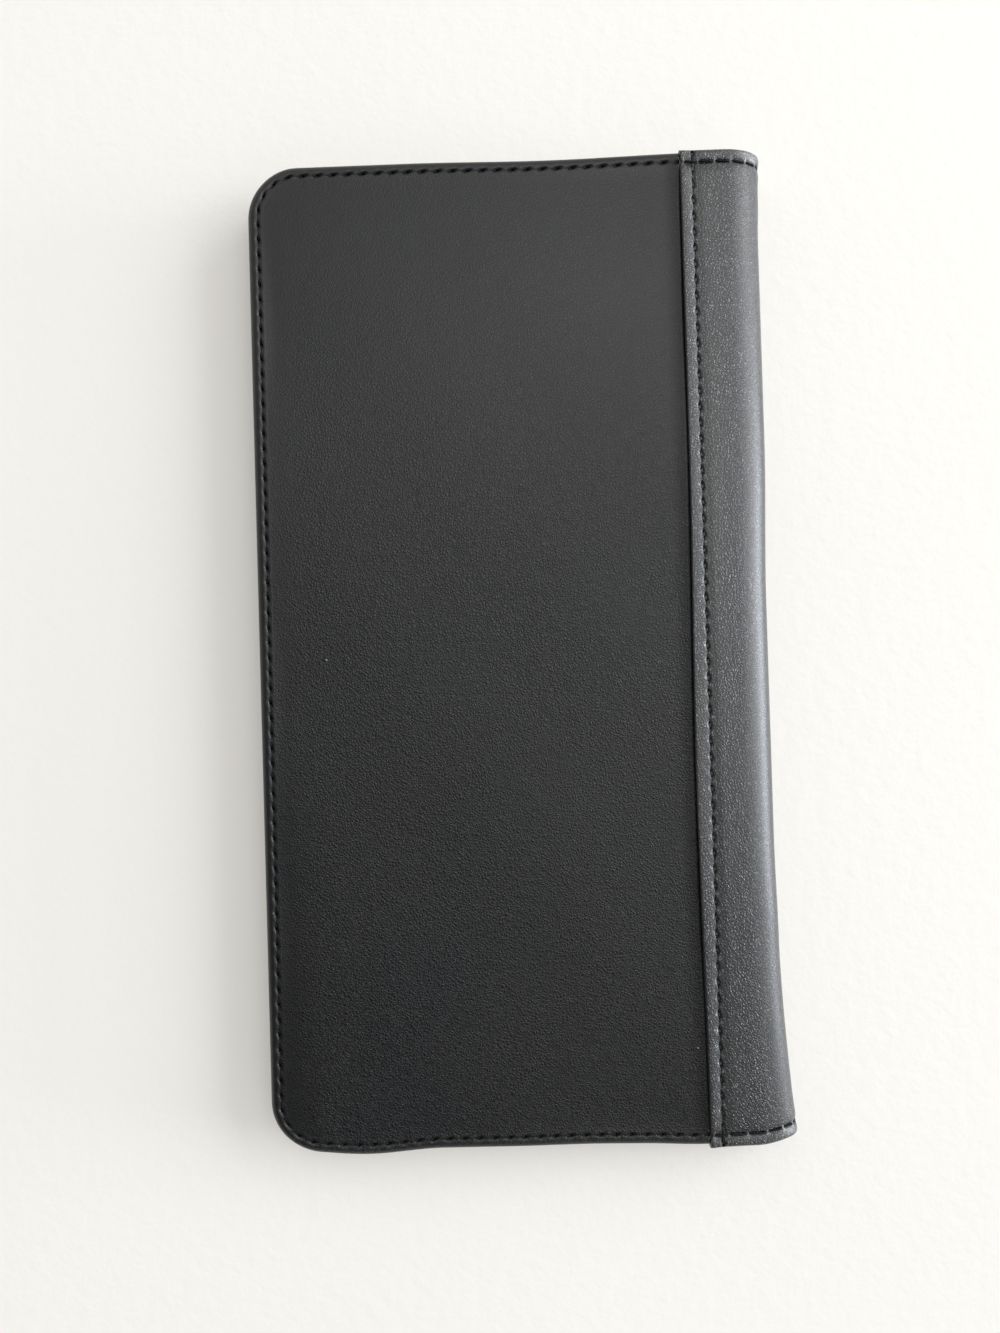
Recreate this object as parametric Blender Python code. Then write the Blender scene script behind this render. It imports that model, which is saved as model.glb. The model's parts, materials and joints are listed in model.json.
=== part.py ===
"""A travel wallet: a long two-part case of turned-edge leather over boards, with pockets inside.

Metres, +Z up. The wallet lies closed on its back cover. +Y runs along its length and +X points at
its spine. Each half is drawn by its depth under its own outer face, so the same functions make
both: the back half is built upward from the ground and the front half downward from the top.
"""

import math

import bmesh
import bpy
from mathutils import Vector

# Outline of the closed wallet
LENGTH = 0.230
WIDTH = 0.120
CORNER_RADIUS = 0.0115

# Leather, boards and linings, by thickness
SHELL_LEATHER = 0.0014
TURNED_LEATHER = 0.0009
STRIP_LEATHER = 0.0007
BOARD = 0.0009
LINING = 0.0004
POCKET_LEATHER = 0.0007
FILM = 0.0002

# Clearances
LAYER_GAP = 0.00025
EDGE_GAP = 0.0003
SLOT_GAP = 0.00012
PAGE_GAP = 0.0005

# Turned edge and its stitch line
TURN_IN_WIDTH = 0.0085
CORNER_ROOM = 0.0005
EDGE_ROUNDING = 0.0014
ROLL_SHARE = 0.45
ROLL_ROOM_SHARE = 0.9
STITCH_INSET = 0.0026
STITCH_PITCH = 0.0035
GROOVE_WIDTH = 0.0008
GROOVE_LIP = 0.0003
GROOVE_DEPTH = 0.00045

# Sewing thread
THREAD_WIDTH = 0.00044
THREAD_HEIGHT = 0.0003
THREAD_HOLE_SHARE = 0.65
THREAD_SINK_SHARE = 0.2
THREAD_RISE_RUN = 0.0009

# Spine strip, lapped over both covers
NOSE_DEPTH = 0.010
LAP_FLAT = 0.0091
LAP_STEP = 0.0003
SEAM_INSET = 0.0032
SEAM_PITCH = 0.0037
FRONT_LAP_RISE = 0.0004
BOARD_SETBACK = 0.0025
LINING_FALL = 0.0045
END_DIP = 0.0015
END_DIP_POWER = 3
FOLD_CUT = 0.0003

# Full-length pockets
MOUTH_SETBACK = 0.0020
NOTCH_DEPTH = 0.0050
NOTCH_HALF_LENGTH = 0.030

# Card slots and the passport pocket, on the back half
SLOT_COUNT = 4
SLOT_STEP = 0.013
SLOT_DEPTH = 0.052
SLOT_LINING = 0.0002
SLOT_LEATHER = 0.0005
SLOT_TOP_MARGIN = 0.0022
SLOT_SIDE_MARGIN = 0.0015
PASSPORT_DROP = 0.012
PASSPORT_NOTCH_HALF = 0.016
PASSPORT_NOTCH_DEPTH = 0.006

# Boarding pass pocket and identity window, on the front half
BOARDING_DROP = 0.046
BOARDING_SLANT = 0.014
WINDOW_FRAME_HEIGHT = 0.060
WINDOW_FRAME_MARGIN = 0.0025
WINDOW_BORDER = 0.0070
WINDOW_RADIUS = 0.0030
WINDOW_FRAME_LEATHER = 0.0005
FILM_SETBACK = 0.0015

# Small roundings
LAYER_BEVEL = 0.00012
LAYER_BEVEL_SHARE = 0.25
LAYER_CORNER = 0.0015

ARC_STEPS = 7
SMALL_ARC_STEPS = 3
NOTCH_STEPS = 8
ROLL_STEPS = 3
NOSE_STEPS = 6
BEND_STEPS = 8

# Where things lie across the width
FREE_EDGE = -WIDTH / 2
SPINE_EDGE = WIDTH / 2
NOSE_START = SPINE_EDGE - NOSE_DEPTH
LAP_EDGE = NOSE_START - LAP_FLAT
SEAM_LINE = LAP_EDGE + SEAM_INSET
BOARD_END = NOSE_START - BOARD_SETBACK
COVER_END = LAP_EDGE - EDGE_GAP
MOUTH_LINE = LAP_EDGE - MOUTH_SETBACK

# Where things lie along the length
COVER_HALF_LENGTH = LENGTH / 2 - LAP_STEP
CONTENT_INSET = TURNED_LEATHER + EDGE_GAP
CONTENT_HALF_LENGTH = COVER_HALF_LENGTH - CONTENT_INSET
CONTENT_FREE_EDGE = FREE_EDGE + CONTENT_INSET
CONTENT_RADIUS = CORNER_RADIUS - CONTENT_INSET
TURN_IN = min(TURN_IN_WIDTH, CORNER_RADIUS - CORNER_ROOM)
FIELD_FREE_EDGE = FREE_EDGE + TURN_IN + EDGE_GAP
FIELD_HALF_LENGTH = COVER_HALF_LENGTH - TURN_IN - EDGE_GAP
FIELD_RADIUS = CORNER_RADIUS - TURN_IN
FIELD_SPINE_EDGE = MOUTH_LINE - SLOT_SIDE_MARGIN

# Depths under a cover's outer face, layer by layer
BOARD_TOP = SHELL_LEATHER + LAYER_GAP
LINING_TOP = BOARD_TOP + BOARD + LAYER_GAP
POCKET_TOP = LINING_TOP + LINING + LAYER_GAP
TURN_IN_TOP = POCKET_TOP + POCKET_LEATHER + LAYER_GAP
EDGE_HEIGHT = TURN_IN_TOP + TURNED_LEATHER
SLOT_RISE = SLOT_LINING + SLOT_GAP
CARD_STACK = TURN_IN_TOP + (SLOT_COUNT - 1) * SLOT_RISE + SLOT_LEATHER
FILM_TOP = TURN_IN_TOP + POCKET_LEATHER + SLOT_GAP
FRAME_TOP = FILM_TOP + FILM + SLOT_GAP
WINDOW_STACK = FRAME_TOP + WINDOW_FRAME_LEATHER
BACK_DEPTH = max(CARD_STACK, EDGE_HEIGHT)
FRONT_DEPTH = max(WINDOW_STACK, EDGE_HEIGHT)

# The closed height, over the spine strip
FIELD_HEIGHT = BACK_DEPTH + PAGE_GAP + FRONT_DEPTH
HEIGHT = FIELD_HEIGHT + FRONT_LAP_RISE
NOSE_RISE = HEIGHT / 2

# The spine bends about two lines on its outer face, where that face is at 45 degrees
NOSE_DIAGONAL = math.hypot(NOSE_DEPTH, NOSE_RISE)
FOLD_ANGLE = math.atan2(NOSE_RISE, NOSE_DEPTH)
FOLD_X = NOSE_START + NOSE_DEPTH**2 / NOSE_DIAGONAL
FOLD_OFFSET = NOSE_RISE**2 / NOSE_DIAGONAL
BACK_FOLD = Vector((FOLD_X, 0.0, NOSE_RISE - FOLD_OFFSET))
FRONT_FOLD = Vector((FOLD_X, 0.0, NOSE_RISE + FOLD_OFFSET))

# Finishes: linear colour and roughness
BLACK_LEATHER = ((0.030, 0.032, 0.036, 1.0), 0.45)
INNER_LEATHER = ((0.024, 0.025, 0.028, 1.0), 0.55)
BLACK_THREAD = ((0.008, 0.008, 0.009, 1.0), 0.60)
LINING_CLOTH = ((0.020, 0.021, 0.024, 1.0), 0.80)
GREY_BOARD = ((0.30, 0.28, 0.25, 1.0), 0.90)
CLEAR_FILM = ((0.80, 0.82, 0.84, 1.0), 0.15)


def clear_scene():
    for old in list(bpy.data.objects):
        bpy.data.objects.remove(old, do_unlink=True)


class Carrier:
    """An empty on a body's joint axis, which its pieces are parented to."""

    def __init__(self, name, place, parent=None):
        self.place = Vector(place)
        self.empty = bpy.data.objects.new(name, None)
        self.empty.empty_display_size = LENGTH / 20
        bpy.context.collection.objects.link(self.empty)
        self.empty.location = self.place - (parent.place if parent else Vector())
        if parent:
            self.empty.parent = parent.empty


class Half:
    """One half of the wallet: where its faces lie, and which way depth runs."""

    def __init__(self, side, carrier, field, inward, lap_rise):
        self.side = side
        self.carrier = carrier
        self.field = field
        self.inward = inward
        self.lap_rise = lap_rise

    def point(self, x, y, depth):
        """A place at a depth under the cover's own outer face."""
        return Vector((x, y, self.field + self.inward * depth))

    def strip_point(self, x, y, depth):
        """A place at a depth under the outer plane of the spine strip."""
        return self.point(x, y, depth - self.lap_rise)


def make_material(name, finish):
    color, roughness = finish
    made = bpy.data.materials.new(name)
    made.use_nodes = True
    shader = made.node_tree.nodes["Principled BSDF"]
    shader.inputs["Base Color"].default_value = color
    shader.inputs["Roughness"].default_value = roughness
    shader.inputs["Metallic"].default_value = 0.0
    return made


def add_solid(name, points, faces, finish, carrier):
    """One closed body, from points in world coordinates, with its origin at its carrier's axis."""
    mesh = bpy.data.meshes.new(name)
    mesh.from_pydata([point - carrier.place for point in points], [], faces)
    work = bmesh.new()
    work.from_mesh(mesh)
    bmesh.ops.recalc_face_normals(work, faces=work.faces)
    work.to_mesh(mesh)
    work.free()
    mesh.materials.append(make_material(name, finish))
    mesh.shade_smooth()
    mesh.set_sharp_from_angle(angle=math.radians(40))
    piece = bpy.data.objects.new(name, mesh)
    bpy.context.collection.objects.link(piece)
    piece.parent = carrier.empty
    return piece


def add_bevel(piece, width):
    bevel = piece.modifiers.new("soft_edges", "BEVEL")
    bevel.width = width
    bevel.segments = 1
    bevel.limit_method = "ANGLE"
    bevel.angle_limit = math.radians(60)


def loft(rings):
    """Points and faces of a closed skin through rings of equal count, flat at both ends."""
    count = len(rings[0])
    points = [point for ring in rings for point in ring]
    faces = [tuple(range(count)), tuple(range(len(points) - count, len(points)))]
    for first in range(0, len(points) - count, count):
        for step in range(count):
            after = (step + 1) % count
            faces.append((first + step, first + after, first + count + after, first + count + step))
    return points, faces


def arc(centre, radius, start, end, steps):
    """Points of an arc in the plane of the wallet, angles in degrees."""
    turns = [math.radians(start + (end - start) * step / steps) for step in range(steps + 1)]
    return [(centre[0] + radius * math.cos(a), centre[1] + radius * math.sin(a)) for a in turns]


def page_outline(free_edge, spine_line, half_length, radius):
    """A layer that lies in the turned edge: round at its two free corners, square at the spine."""
    centre_x = free_edge + radius
    centre_y = half_length - radius
    upper = arc((centre_x, centre_y), radius, 90, 180, ARC_STEPS)
    lower = arc((centre_x, -centre_y), radius, 180, 270, ARC_STEPS)
    return [(spine_line, half_length)] + upper + lower + [(spine_line, -half_length)]


def rounded_rectangle(left, right, bottom, top, radius):
    corners = [
        ((right - radius, top - radius), 0),
        ((left + radius, top - radius), 90),
        ((left + radius, bottom + radius), 180),
        ((right - radius, bottom + radius), 270),
    ]
    outline = []
    for centre, start in corners:
        outline += arc(centre, radius, start, start + 90, SMALL_ARC_STEPS)
    return outline


def field_outline(mouth):
    """A short pocket inside the turned edge: from its lower free corner round to the mouth's free end."""
    centre = (FIELD_FREE_EDGE + FIELD_RADIUS, FIELD_RADIUS - FIELD_HALF_LENGTH)
    corner = arc(centre, FIELD_RADIUS, 180, 270, ARC_STEPS)
    near = (FIELD_SPINE_EDGE - LAYER_CORNER, LAYER_CORNER - FIELD_HALF_LENGTH)
    return corner + arc(near, LAYER_CORNER, 270, 360, SMALL_ARC_STEPS) + mouth


def notch(half_length, depth):
    """A shallow thumb notch as (along the mouth, into the pocket), from its far end to its near end."""
    along = [half_length * (1 - 2 * step / NOTCH_STEPS) for step in range(NOTCH_STEPS + 1)]
    return [(a, depth * 0.5 * (1 + math.cos(math.pi * a / half_length))) for a in along]


def add_plate(name, half, outline, low, high, finish):
    """A flat layer between two depths, with its edges slightly rounded."""
    rings = [[half.point(x, y, depth) for x, y in outline] for depth in (low, high)]
    piece = add_solid(name, *loft(rings), finish, half.carrier)
    add_bevel(piece, min(LAYER_BEVEL, (high - low) * LAYER_BEVEL_SHARE))
    return piece


def groove(centre):
    """The stitch groove across a turned edge, as (distance, depth)."""
    half = GROOVE_WIDTH / 2
    lip = half + GROOVE_LIP
    floor = [(centre + half, GROOVE_DEPTH), (centre - half, GROOVE_DEPTH)]
    return [(centre + lip, 0.0)] + floor + [(centre - lip, 0.0)]


def edge_roll(height, most):
    """The outside of a turned edge, as (distance in from the edge, depth), from face to face."""
    radius = min(EDGE_ROUNDING, height * ROLL_SHARE, most)
    turns = [math.radians(90 * step / ROLL_STEPS) for step in range(ROLL_STEPS + 1)]
    outer = [(radius - radius * math.sin(a), radius - radius * math.cos(a)) for a in turns]
    inner = [(radius - radius * math.cos(a), height - radius + radius * math.sin(a)) for a in turns]
    return outer + inner


def cover_section():
    """The cover's turned edge as (distance in from the edge, depth), from the field to the field."""
    room = STITCH_INSET - GROOVE_WIDTH / 2 - GROOVE_LIP
    section = [(TURN_IN, 0.0)]
    section += groove(STITCH_INSET)
    section += edge_roll(EDGE_HEIGHT, room * ROLL_ROOM_SHARE)
    section += [(TURN_IN, EDGE_HEIGHT), (TURN_IN, TURN_IN_TOP), (TURNED_LEATHER, TURN_IN_TOP)]
    section += [(TURNED_LEATHER, SHELL_LEATHER), (TURN_IN, SHELL_LEATHER)]
    return section


def cover_stations(end):
    """Places round the cover's three turned edges up to x = end, each with its way into the cover."""
    centre_x = FREE_EDGE + CORNER_RADIUS
    centre_y = COVER_HALF_LENGTH - CORNER_RADIUS
    stations = [((end, -COVER_HALF_LENGTH), (0.0, 1.0))]
    for centre, start in (((centre_x, -centre_y), 270), ((centre_x, centre_y), 180)):
        for place in arc(centre, CORNER_RADIUS, start, start - 90, ARC_STEPS):
            inward = ((centre[0] - place[0]) / CORNER_RADIUS, (centre[1] - place[1]) / CORNER_RADIUS)
            stations.append((place, inward))
    stations.append(((end, COVER_HALF_LENGTH), (0.0, -1.0)))
    return stations


def add_cover_leather(half):
    """The cover's sheet, turned over on three sides, with a thin tongue that lies under the lap."""
    section = cover_section()
    count = len(section)
    points = []
    for (x, y), (inward_x, inward_y) in cover_stations(COVER_END):
        points += [half.point(x + inward_x * u, y + inward_y * u, depth) for u, depth in section]
    rows = len(points) // count
    faces = []
    for row in range(rows - 1):
        for step in range(count - 1):
            here = row * count + step
            faces.append((here, here + 1, here + count + 1, here + count))
    faces.append(tuple(row * count for row in range(rows)))

    # The tongue is the sheet's inner part, so that the lap beside it can lie lower
    tongue_top = STRIP_LEATHER - half.lap_rise + LAYER_GAP
    wall = COVER_HALF_LENGTH - TURNED_LEATHER
    field = COVER_HALF_LENGTH - TURN_IN
    near = len(points)
    points += [half.point(COVER_END, y, tongue_top) for y in (-wall, -field, field, wall)]
    far = len(points)
    for y in (-wall, wall):
        points += [half.point(BOARD_END, y, depth) for depth in (tongue_top, SHELL_LEATHER)]
    inner_corner = count - 2
    last = (rows - 1) * count
    faces.append(tuple(range(inner_corner + 1)) + (near, near + 1))
    faces.append(tuple(last + step for step in range(inner_corner + 1)) + (near + 3, near + 2))
    faces.append((0, last, near + 2, near + 1))
    faces.append((near, near + 1, near + 2, near + 3, far + 2, far))
    faces.append((inner_corner, near, far, far + 1))
    faces.append((last + inner_corner, near + 3, far + 2, far + 3))
    faces.append((far, far + 2, far + 3, far + 1))
    inner_face = [row * count + count - 1 for row in range(rows)]
    faces.append((inner_corner, *inner_face, last + inner_corner, far + 3, far + 1))
    add_solid(half.side + "_cover_leather", points, faces, BLACK_LEATHER, half.carrier)


class SpineStation:
    """A place along the spine strip: on its outer face, with the direction inward from it."""

    def __init__(self, x, depth, inward_x, inward_depth, lean):
        self.x = x
        self.depth = depth
        self.inward_x = inward_x
        self.inward_depth = inward_depth
        self.half_length = LENGTH / 2 - END_DIP * lean**END_DIP_POWER

    def point(self, half, y, under):
        x = self.x + self.inward_x * under
        return half.strip_point(x, y, self.depth + self.inward_depth * under)


def flat_station(x):
    return SpineStation(x, 0.0, 0.0, 1.0, 0.0)


def nose_station(angle):
    """A station on the half-round nose. The angle is 90 degrees at the flat and 0 at the tip."""
    across = math.cos(angle)
    along = math.sin(angle)
    size = math.hypot(across / NOSE_DEPTH, along / NOSE_RISE)
    return SpineStation(
        NOSE_START + NOSE_DEPTH * across,
        NOSE_RISE * (1 - along),
        -across / NOSE_DEPTH / size,
        along / NOSE_RISE / size,
        max(across, 0.0),
    )


def nose_stations(start, end, steps):
    return [nose_station(start + (end - start) * step / steps) for step in range(steps + 1)]


def fold_cut_angle():
    """The angle on the nose that half of the cut at a fold line takes up."""
    speed = math.hypot(NOSE_DEPTH * math.sin(FOLD_ANGLE), NOSE_RISE * math.cos(FOLD_ANGLE))
    return FOLD_CUT / 2 / speed


def lining_under(half, x):
    """How deep the lining lies under the strip's outer face: it falls from the board into the nose."""
    on_board = LINING_TOP + half.lap_rise
    in_nose = STRIP_LEATHER + LAYER_GAP
    share = (x - BOARD_END - EDGE_GAP) / LINING_FALL
    share = min(max(share, 0.0), 1.0)
    return on_board + (in_nose - on_board) * share * share * (3 - 2 * share)


def seam_lead(x):
    """How far the strip's outer face is lowered, by its rounded fold and by the seam's groove."""
    from_fold = x - LAP_EDGE
    if from_fold < LAP_STEP:
        return LAP_STEP * (1 - math.sin(math.radians(90) * from_fold / LAP_STEP))
    from_seam = abs(x - SEAM_LINE)
    half = GROOVE_WIDTH / 2
    share = 1 - (from_seam - half) / GROOVE_LIP
    return GROOVE_DEPTH * min(max(share, 0.0), 1.0)


def strip_section(station, height, lead):
    """The strip's cross-section as (y, under): a sheet whose two ends are turned in."""
    reach = station.half_length
    stitch = LAP_STEP + STITCH_INSET
    room = stitch - GROOVE_WIDTH / 2 - GROOVE_LIP
    inset = groove(stitch)
    inset += edge_roll(height, room * ROLL_ROOM_SHARE)
    inset += [(TURN_IN, height), (TURN_IN, height - STRIP_LEATHER), (STRIP_LEATHER, height - STRIP_LEATHER)]
    inset += [(STRIP_LEATHER, STRIP_LEATHER)]
    upper = [(reach - u, max(under, lead)) for u, under in inset]
    lower = [(-y, under) for y, under in reversed(upper)]
    return upper + lower


def strip_ring(half, station):
    """The strip's skin at a station, over the lining that it is turned in on."""
    height = lining_under(half, station.x) + LINING + LAYER_GAP + STRIP_LEATHER
    section = strip_section(station, height, seam_lead(station.x))
    return [station.point(half, y, under) for y, under in section]


def lap_stations():
    """Stations of one lap, from its folded edge over the seam to the start of the nose."""
    half = GROOVE_WIDTH / 2
    lines = [LAP_EDGE, LAP_EDGE + LAP_STEP / 3, LAP_EDGE + LAP_STEP]
    lines += [SEAM_LINE + side for side in (-half - GROOVE_LIP, -half, half, half + GROOVE_LIP)]
    lines += [BOARD_END + EDGE_GAP]
    lines += [BOARD_END + EDGE_GAP + (BOARD_SETBACK - EDGE_GAP) / 2]
    return [flat_station(x) for x in sorted(lines) if x < NOSE_START]


def add_spine_lap(half):
    stations = lap_stations()
    stations += nose_stations(math.radians(90), FOLD_ANGLE + fold_cut_angle(), NOSE_STEPS)
    rings = [strip_ring(half, station) for station in stations]
    add_solid("spine_" + half.side + "_lap", *loft(rings), BLACK_LEATHER, half.carrier)


def add_spine_bend(half, carrier):
    """The strip's middle, between the two fold lines."""
    reach = FOLD_ANGLE - fold_cut_angle()
    rings = [strip_ring(half, station) for station in nose_stations(reach, -reach, BEND_STEPS)]
    add_solid("spine_bend", *loft(rings), BLACK_LEATHER, carrier)


def lining_ring(half, station, half_length):
    top = lining_under(half, station.x)
    reach = min(half_length, station.half_length - STRIP_LEATHER - EDGE_GAP)
    corners = [(reach, top), (-reach, top), (-reach, top + LINING), (reach, top + LINING)]
    return [station.point(half, y, under) for y, under in corners]


def add_lining(half):
    """The cover's lining, which runs on over the board's end and into the nose."""
    centre_y = CONTENT_HALF_LENGTH - CONTENT_RADIUS
    corner = arc((CONTENT_FREE_EDGE + CONTENT_RADIUS, centre_y), CONTENT_RADIUS, 180, 90, ARC_STEPS)
    rings = [lining_ring(half, flat_station(x), y) for x, y in corner]
    stations = [flat_station(BOARD_END + EDGE_GAP), flat_station((BOARD_END + NOSE_START) / 2)]
    stations += nose_stations(math.radians(90), FOLD_ANGLE + fold_cut_angle(), NOSE_STEPS)
    rings += [lining_ring(half, station, CONTENT_HALF_LENGTH) for station in stations]
    add_solid(half.side + "_lining", *loft(rings), LINING_CLOTH, half.carrier)


def add_spine_lining(half, carrier):
    reach = FOLD_ANGLE - fold_cut_angle()
    stations = nose_stations(reach, -reach, BEND_STEPS)
    rings = [lining_ring(half, station, CONTENT_HALF_LENGTH) for station in stations]
    add_solid("spine_lining", *loft(rings), LINING_CLOTH, carrier)


class Guide:
    """A line for thread: places on the leather's face, each with the direction into the leather."""

    def __init__(self, places):
        self.places = places
        self.lengths = [0.0]
        for (before, _), (after, _) in zip(places, places[1:]):
            self.lengths.append(self.lengths[-1] + (after - before).length)

    def leg(self, distance):
        return sum(corner < distance for corner in self.lengths[1:-1])

    def run(self, distance):
        leg = self.leg(distance)
        return (self.places[leg + 1][0] - self.places[leg][0]).normalized()

    def at(self, distance):
        leg = self.leg(distance)
        (before, inward), (after, next_inward) = self.places[leg], self.places[leg + 1]
        share = (distance - self.lengths[leg]) / (self.lengths[leg + 1] - self.lengths[leg])
        return before.lerp(after, share), inward.lerp(next_inward, share)


def stitch_marks(guide, pitch):
    """Distances along a guide at each half stitch and at its corners, with the thread's rise there.

    The rise is 0 at a hole and 1 at the middle of a stitch.
    """
    total = guide.lengths[-1]
    halves = 2 * max(1, round(total / pitch))
    half_stitch = total / halves
    marks = [(half_stitch * count, count % 2) for count in range(halves + 1)]
    for corner in guide.lengths[1:-1]:
        count = corner / half_stitch
        if abs(count - round(count)) * half_stitch > THREAD_WIDTH / 2:
            marks.append((corner, abs(count - 2 * round(count / 2))))
    return sorted(marks)


def add_thread(name, guide, pitch, carrier):
    """A row of stitches as one thread, which stands up between its holes and sinks at each."""
    rings = []
    for distance, rise in stitch_marks(guide, pitch):
        place, inward = guide.at(distance)
        run = guide.run(distance - THREAD_WIDTH / 2) + guide.run(distance + THREAD_WIDTH / 2)
        size = THREAD_HOLE_SHARE + (1 - THREAD_HOLE_SHARE) * rise
        across = inward.cross(run).normalized() * (THREAD_WIDTH / 2 * size)
        down = inward.normalized() * (THREAD_HEIGHT / 2 * size)
        centre = place + inward * (GROOVE_DEPTH / 2 + THREAD_HEIGHT * THREAD_SINK_SHARE * (1 - rise))
        rings.append([centre + across, centre + down, centre - across, centre - down])
    add_solid(name, *loft(rings), BLACK_THREAD, carrier)


def end_stitch_places(half, stations, side):
    """Places across one end of the spine strip, where the covers' edge stitches run on."""
    places = []
    for station in stations:
        y = side * (station.half_length - LAP_STEP - STITCH_INSET)
        inward = Vector((station.inward_x, 0.0, half.inward * station.inward_depth))
        places.append((station.point(half, y, 0.0), inward))
    return places


def add_edge_thread(half):
    """The stitches round the cover's three turned edges and on over both ends of the lap."""
    inward = Vector((0.0, 0.0, half.inward))
    cover = []
    for (x, y), (inward_x, inward_y) in cover_stations(COVER_END - THREAD_RISE_RUN):
        place = half.point(x + inward_x * STITCH_INSET, y + inward_y * STITCH_INSET, 0.0)
        cover.append((place, inward))
    stations = [flat_station(COVER_END)]
    stations += nose_stations(math.radians(90), FOLD_ANGLE + fold_cut_angle(), NOSE_STEPS)
    lower = end_stitch_places(half, stations, -1)
    upper = end_stitch_places(half, stations, 1)
    add_thread(half.side + "_edge_thread", Guide(lower[::-1] + cover + upper), STITCH_PITCH, half.carrier)


def add_spine_thread(name, half, side, carrier):
    """The stitches across one end of the strip's middle, between the two fold lines."""
    reach = FOLD_ANGLE - fold_cut_angle()
    places = end_stitch_places(half, nose_stations(reach, -reach, BEND_STEPS), side)
    add_thread(name, Guide(places), STITCH_PITCH, carrier)


def add_seam_thread(half):
    """The stitches that hold the spine strip's lap to the cover."""
    inward = Vector((0.0, 0.0, half.inward))
    reach = LENGTH / 2 - LAP_STEP - 2 * STITCH_INSET
    places = [(half.strip_point(SEAM_LINE, y, 0.0), inward) for y in (-reach, reach)]
    add_thread(half.side + "_seam_thread", Guide(places), SEAM_PITCH, half.carrier)


def add_board(half):
    outline = page_outline(CONTENT_FREE_EDGE, BOARD_END, CONTENT_HALF_LENGTH, CONTENT_RADIUS)
    add_plate(half.side + "_board", half, outline, BOARD_TOP, BOARD_TOP + BOARD, GREY_BOARD)


def add_long_pocket(half, name):
    """A pocket as long as the cover, held in its turned edge, with a notched mouth at the spine."""
    outline = page_outline(CONTENT_FREE_EDGE, MOUTH_LINE, CONTENT_HALF_LENGTH, CONTENT_RADIUS)
    outline += [(MOUTH_LINE - into, -y) for y, into in notch(NOTCH_HALF_LENGTH, NOTCH_DEPTH)]
    add_plate(name, half, outline, POCKET_TOP, POCKET_TOP + POCKET_LEATHER, INNER_LEATHER)


def slot_mouth(index):
    return FIELD_HALF_LENGTH - SLOT_TOP_MARGIN - index * SLOT_STEP


def add_card_slot(half, index):
    """A slip pocket: a leather face at its mouth on a thin lining that runs down behind the next."""
    mouth = slot_mouth(index)
    bottom = mouth - SLOT_DEPTH
    face_end = bottom if index == SLOT_COUNT - 1 else slot_mouth(index + 1) + EDGE_GAP
    low = TURN_IN_TOP + index * SLOT_RISE
    profile = [(mouth, low), (mouth, low + SLOT_LEATHER), (face_end, low + SLOT_LEATHER)]
    if index < SLOT_COUNT - 1:
        profile += [(face_end, low + SLOT_LINING), (bottom, low + SLOT_LINING)]
    profile += [(bottom, low)]
    sides = (FIELD_FREE_EDGE, FIELD_SPINE_EDGE)
    rings = [[half.point(x, y, depth) for y, depth in profile] for x in sides]
    add_solid(f"card_slot_{index + 1}", *loft(rings), INNER_LEATHER, half.carrier)


def add_passport_pocket(half):
    height = slot_mouth(SLOT_COUNT - 1) - SLOT_DEPTH - PASSPORT_DROP
    middle = (FIELD_FREE_EDGE + FIELD_SPINE_EDGE) / 2
    dip = notch(PASSPORT_NOTCH_HALF, PASSPORT_NOTCH_DEPTH)
    mouth = [(FIELD_SPINE_EDGE, height)]
    mouth += [(middle + x, height - into) for x, into in dip]
    mouth += [(FIELD_FREE_EDGE, height)]
    outline = field_outline(mouth)
    add_plate("passport_pocket", half, outline, TURN_IN_TOP, TURN_IN_TOP + POCKET_LEATHER, INNER_LEATHER)


def add_boarding_pass_pocket(half):
    """A shorter pocket with a slanted mouth."""
    high = FIELD_HALF_LENGTH - BOARDING_DROP
    outline = field_outline([(FIELD_SPINE_EDGE, high - BOARDING_SLANT), (FIELD_FREE_EDGE, high)])
    low = TURN_IN_TOP
    add_plate("boarding_pass_pocket", half, outline, low, low + POCKET_LEATHER, INNER_LEATHER)


def window_frame_box():
    """Left, right, bottom and top of the identity window's frame."""
    left = FIELD_FREE_EDGE + WINDOW_FRAME_MARGIN
    right = FIELD_SPINE_EDGE - WINDOW_FRAME_MARGIN
    bottom = WINDOW_FRAME_MARGIN - FIELD_HALF_LENGTH
    return left, right, bottom, bottom + WINDOW_FRAME_HEIGHT


def add_window_frame(half):
    left, right, bottom, top = window_frame_box()
    outer = rounded_rectangle(left, right, bottom, top, LAYER_CORNER)
    edge = WINDOW_BORDER
    inner = rounded_rectangle(left + edge, right - edge, bottom + edge, top - edge, WINDOW_RADIUS)
    low = FRAME_TOP
    high = FRAME_TOP + WINDOW_FRAME_LEATHER
    loops = ((outer, low), (outer, high), (inner, high), (inner, low))
    rings = [[half.point(x, y, depth) for x, y in loop] for loop, depth in loops]
    points, faces = loft(rings)
    count = len(outer)
    faces = faces[2:]
    for step in range(count):
        after = (step + 1) % count
        faces.append((3 * count + step, 3 * count + after, after, step))
    add_solid("id_window_frame", points, faces, INNER_LEATHER, half.carrier)


def add_window_film(half):
    left, right, bottom, top = window_frame_box()
    edge = FILM_SETBACK
    outline = rounded_rectangle(left + edge, right - edge, bottom + edge, top - edge, LAYER_CORNER)
    rings = [[half.point(x, y, depth) for x, y in outline] for depth in (FILM_TOP, FILM_TOP + FILM)]
    add_solid("id_window_film", *loft(rings), CLEAR_FILM, half.carrier)


def add_shell(half):
    add_cover_leather(half)
    add_board(half)
    add_lining(half)
    add_spine_lap(half)
    add_edge_thread(half)
    add_seam_thread(half)


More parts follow.
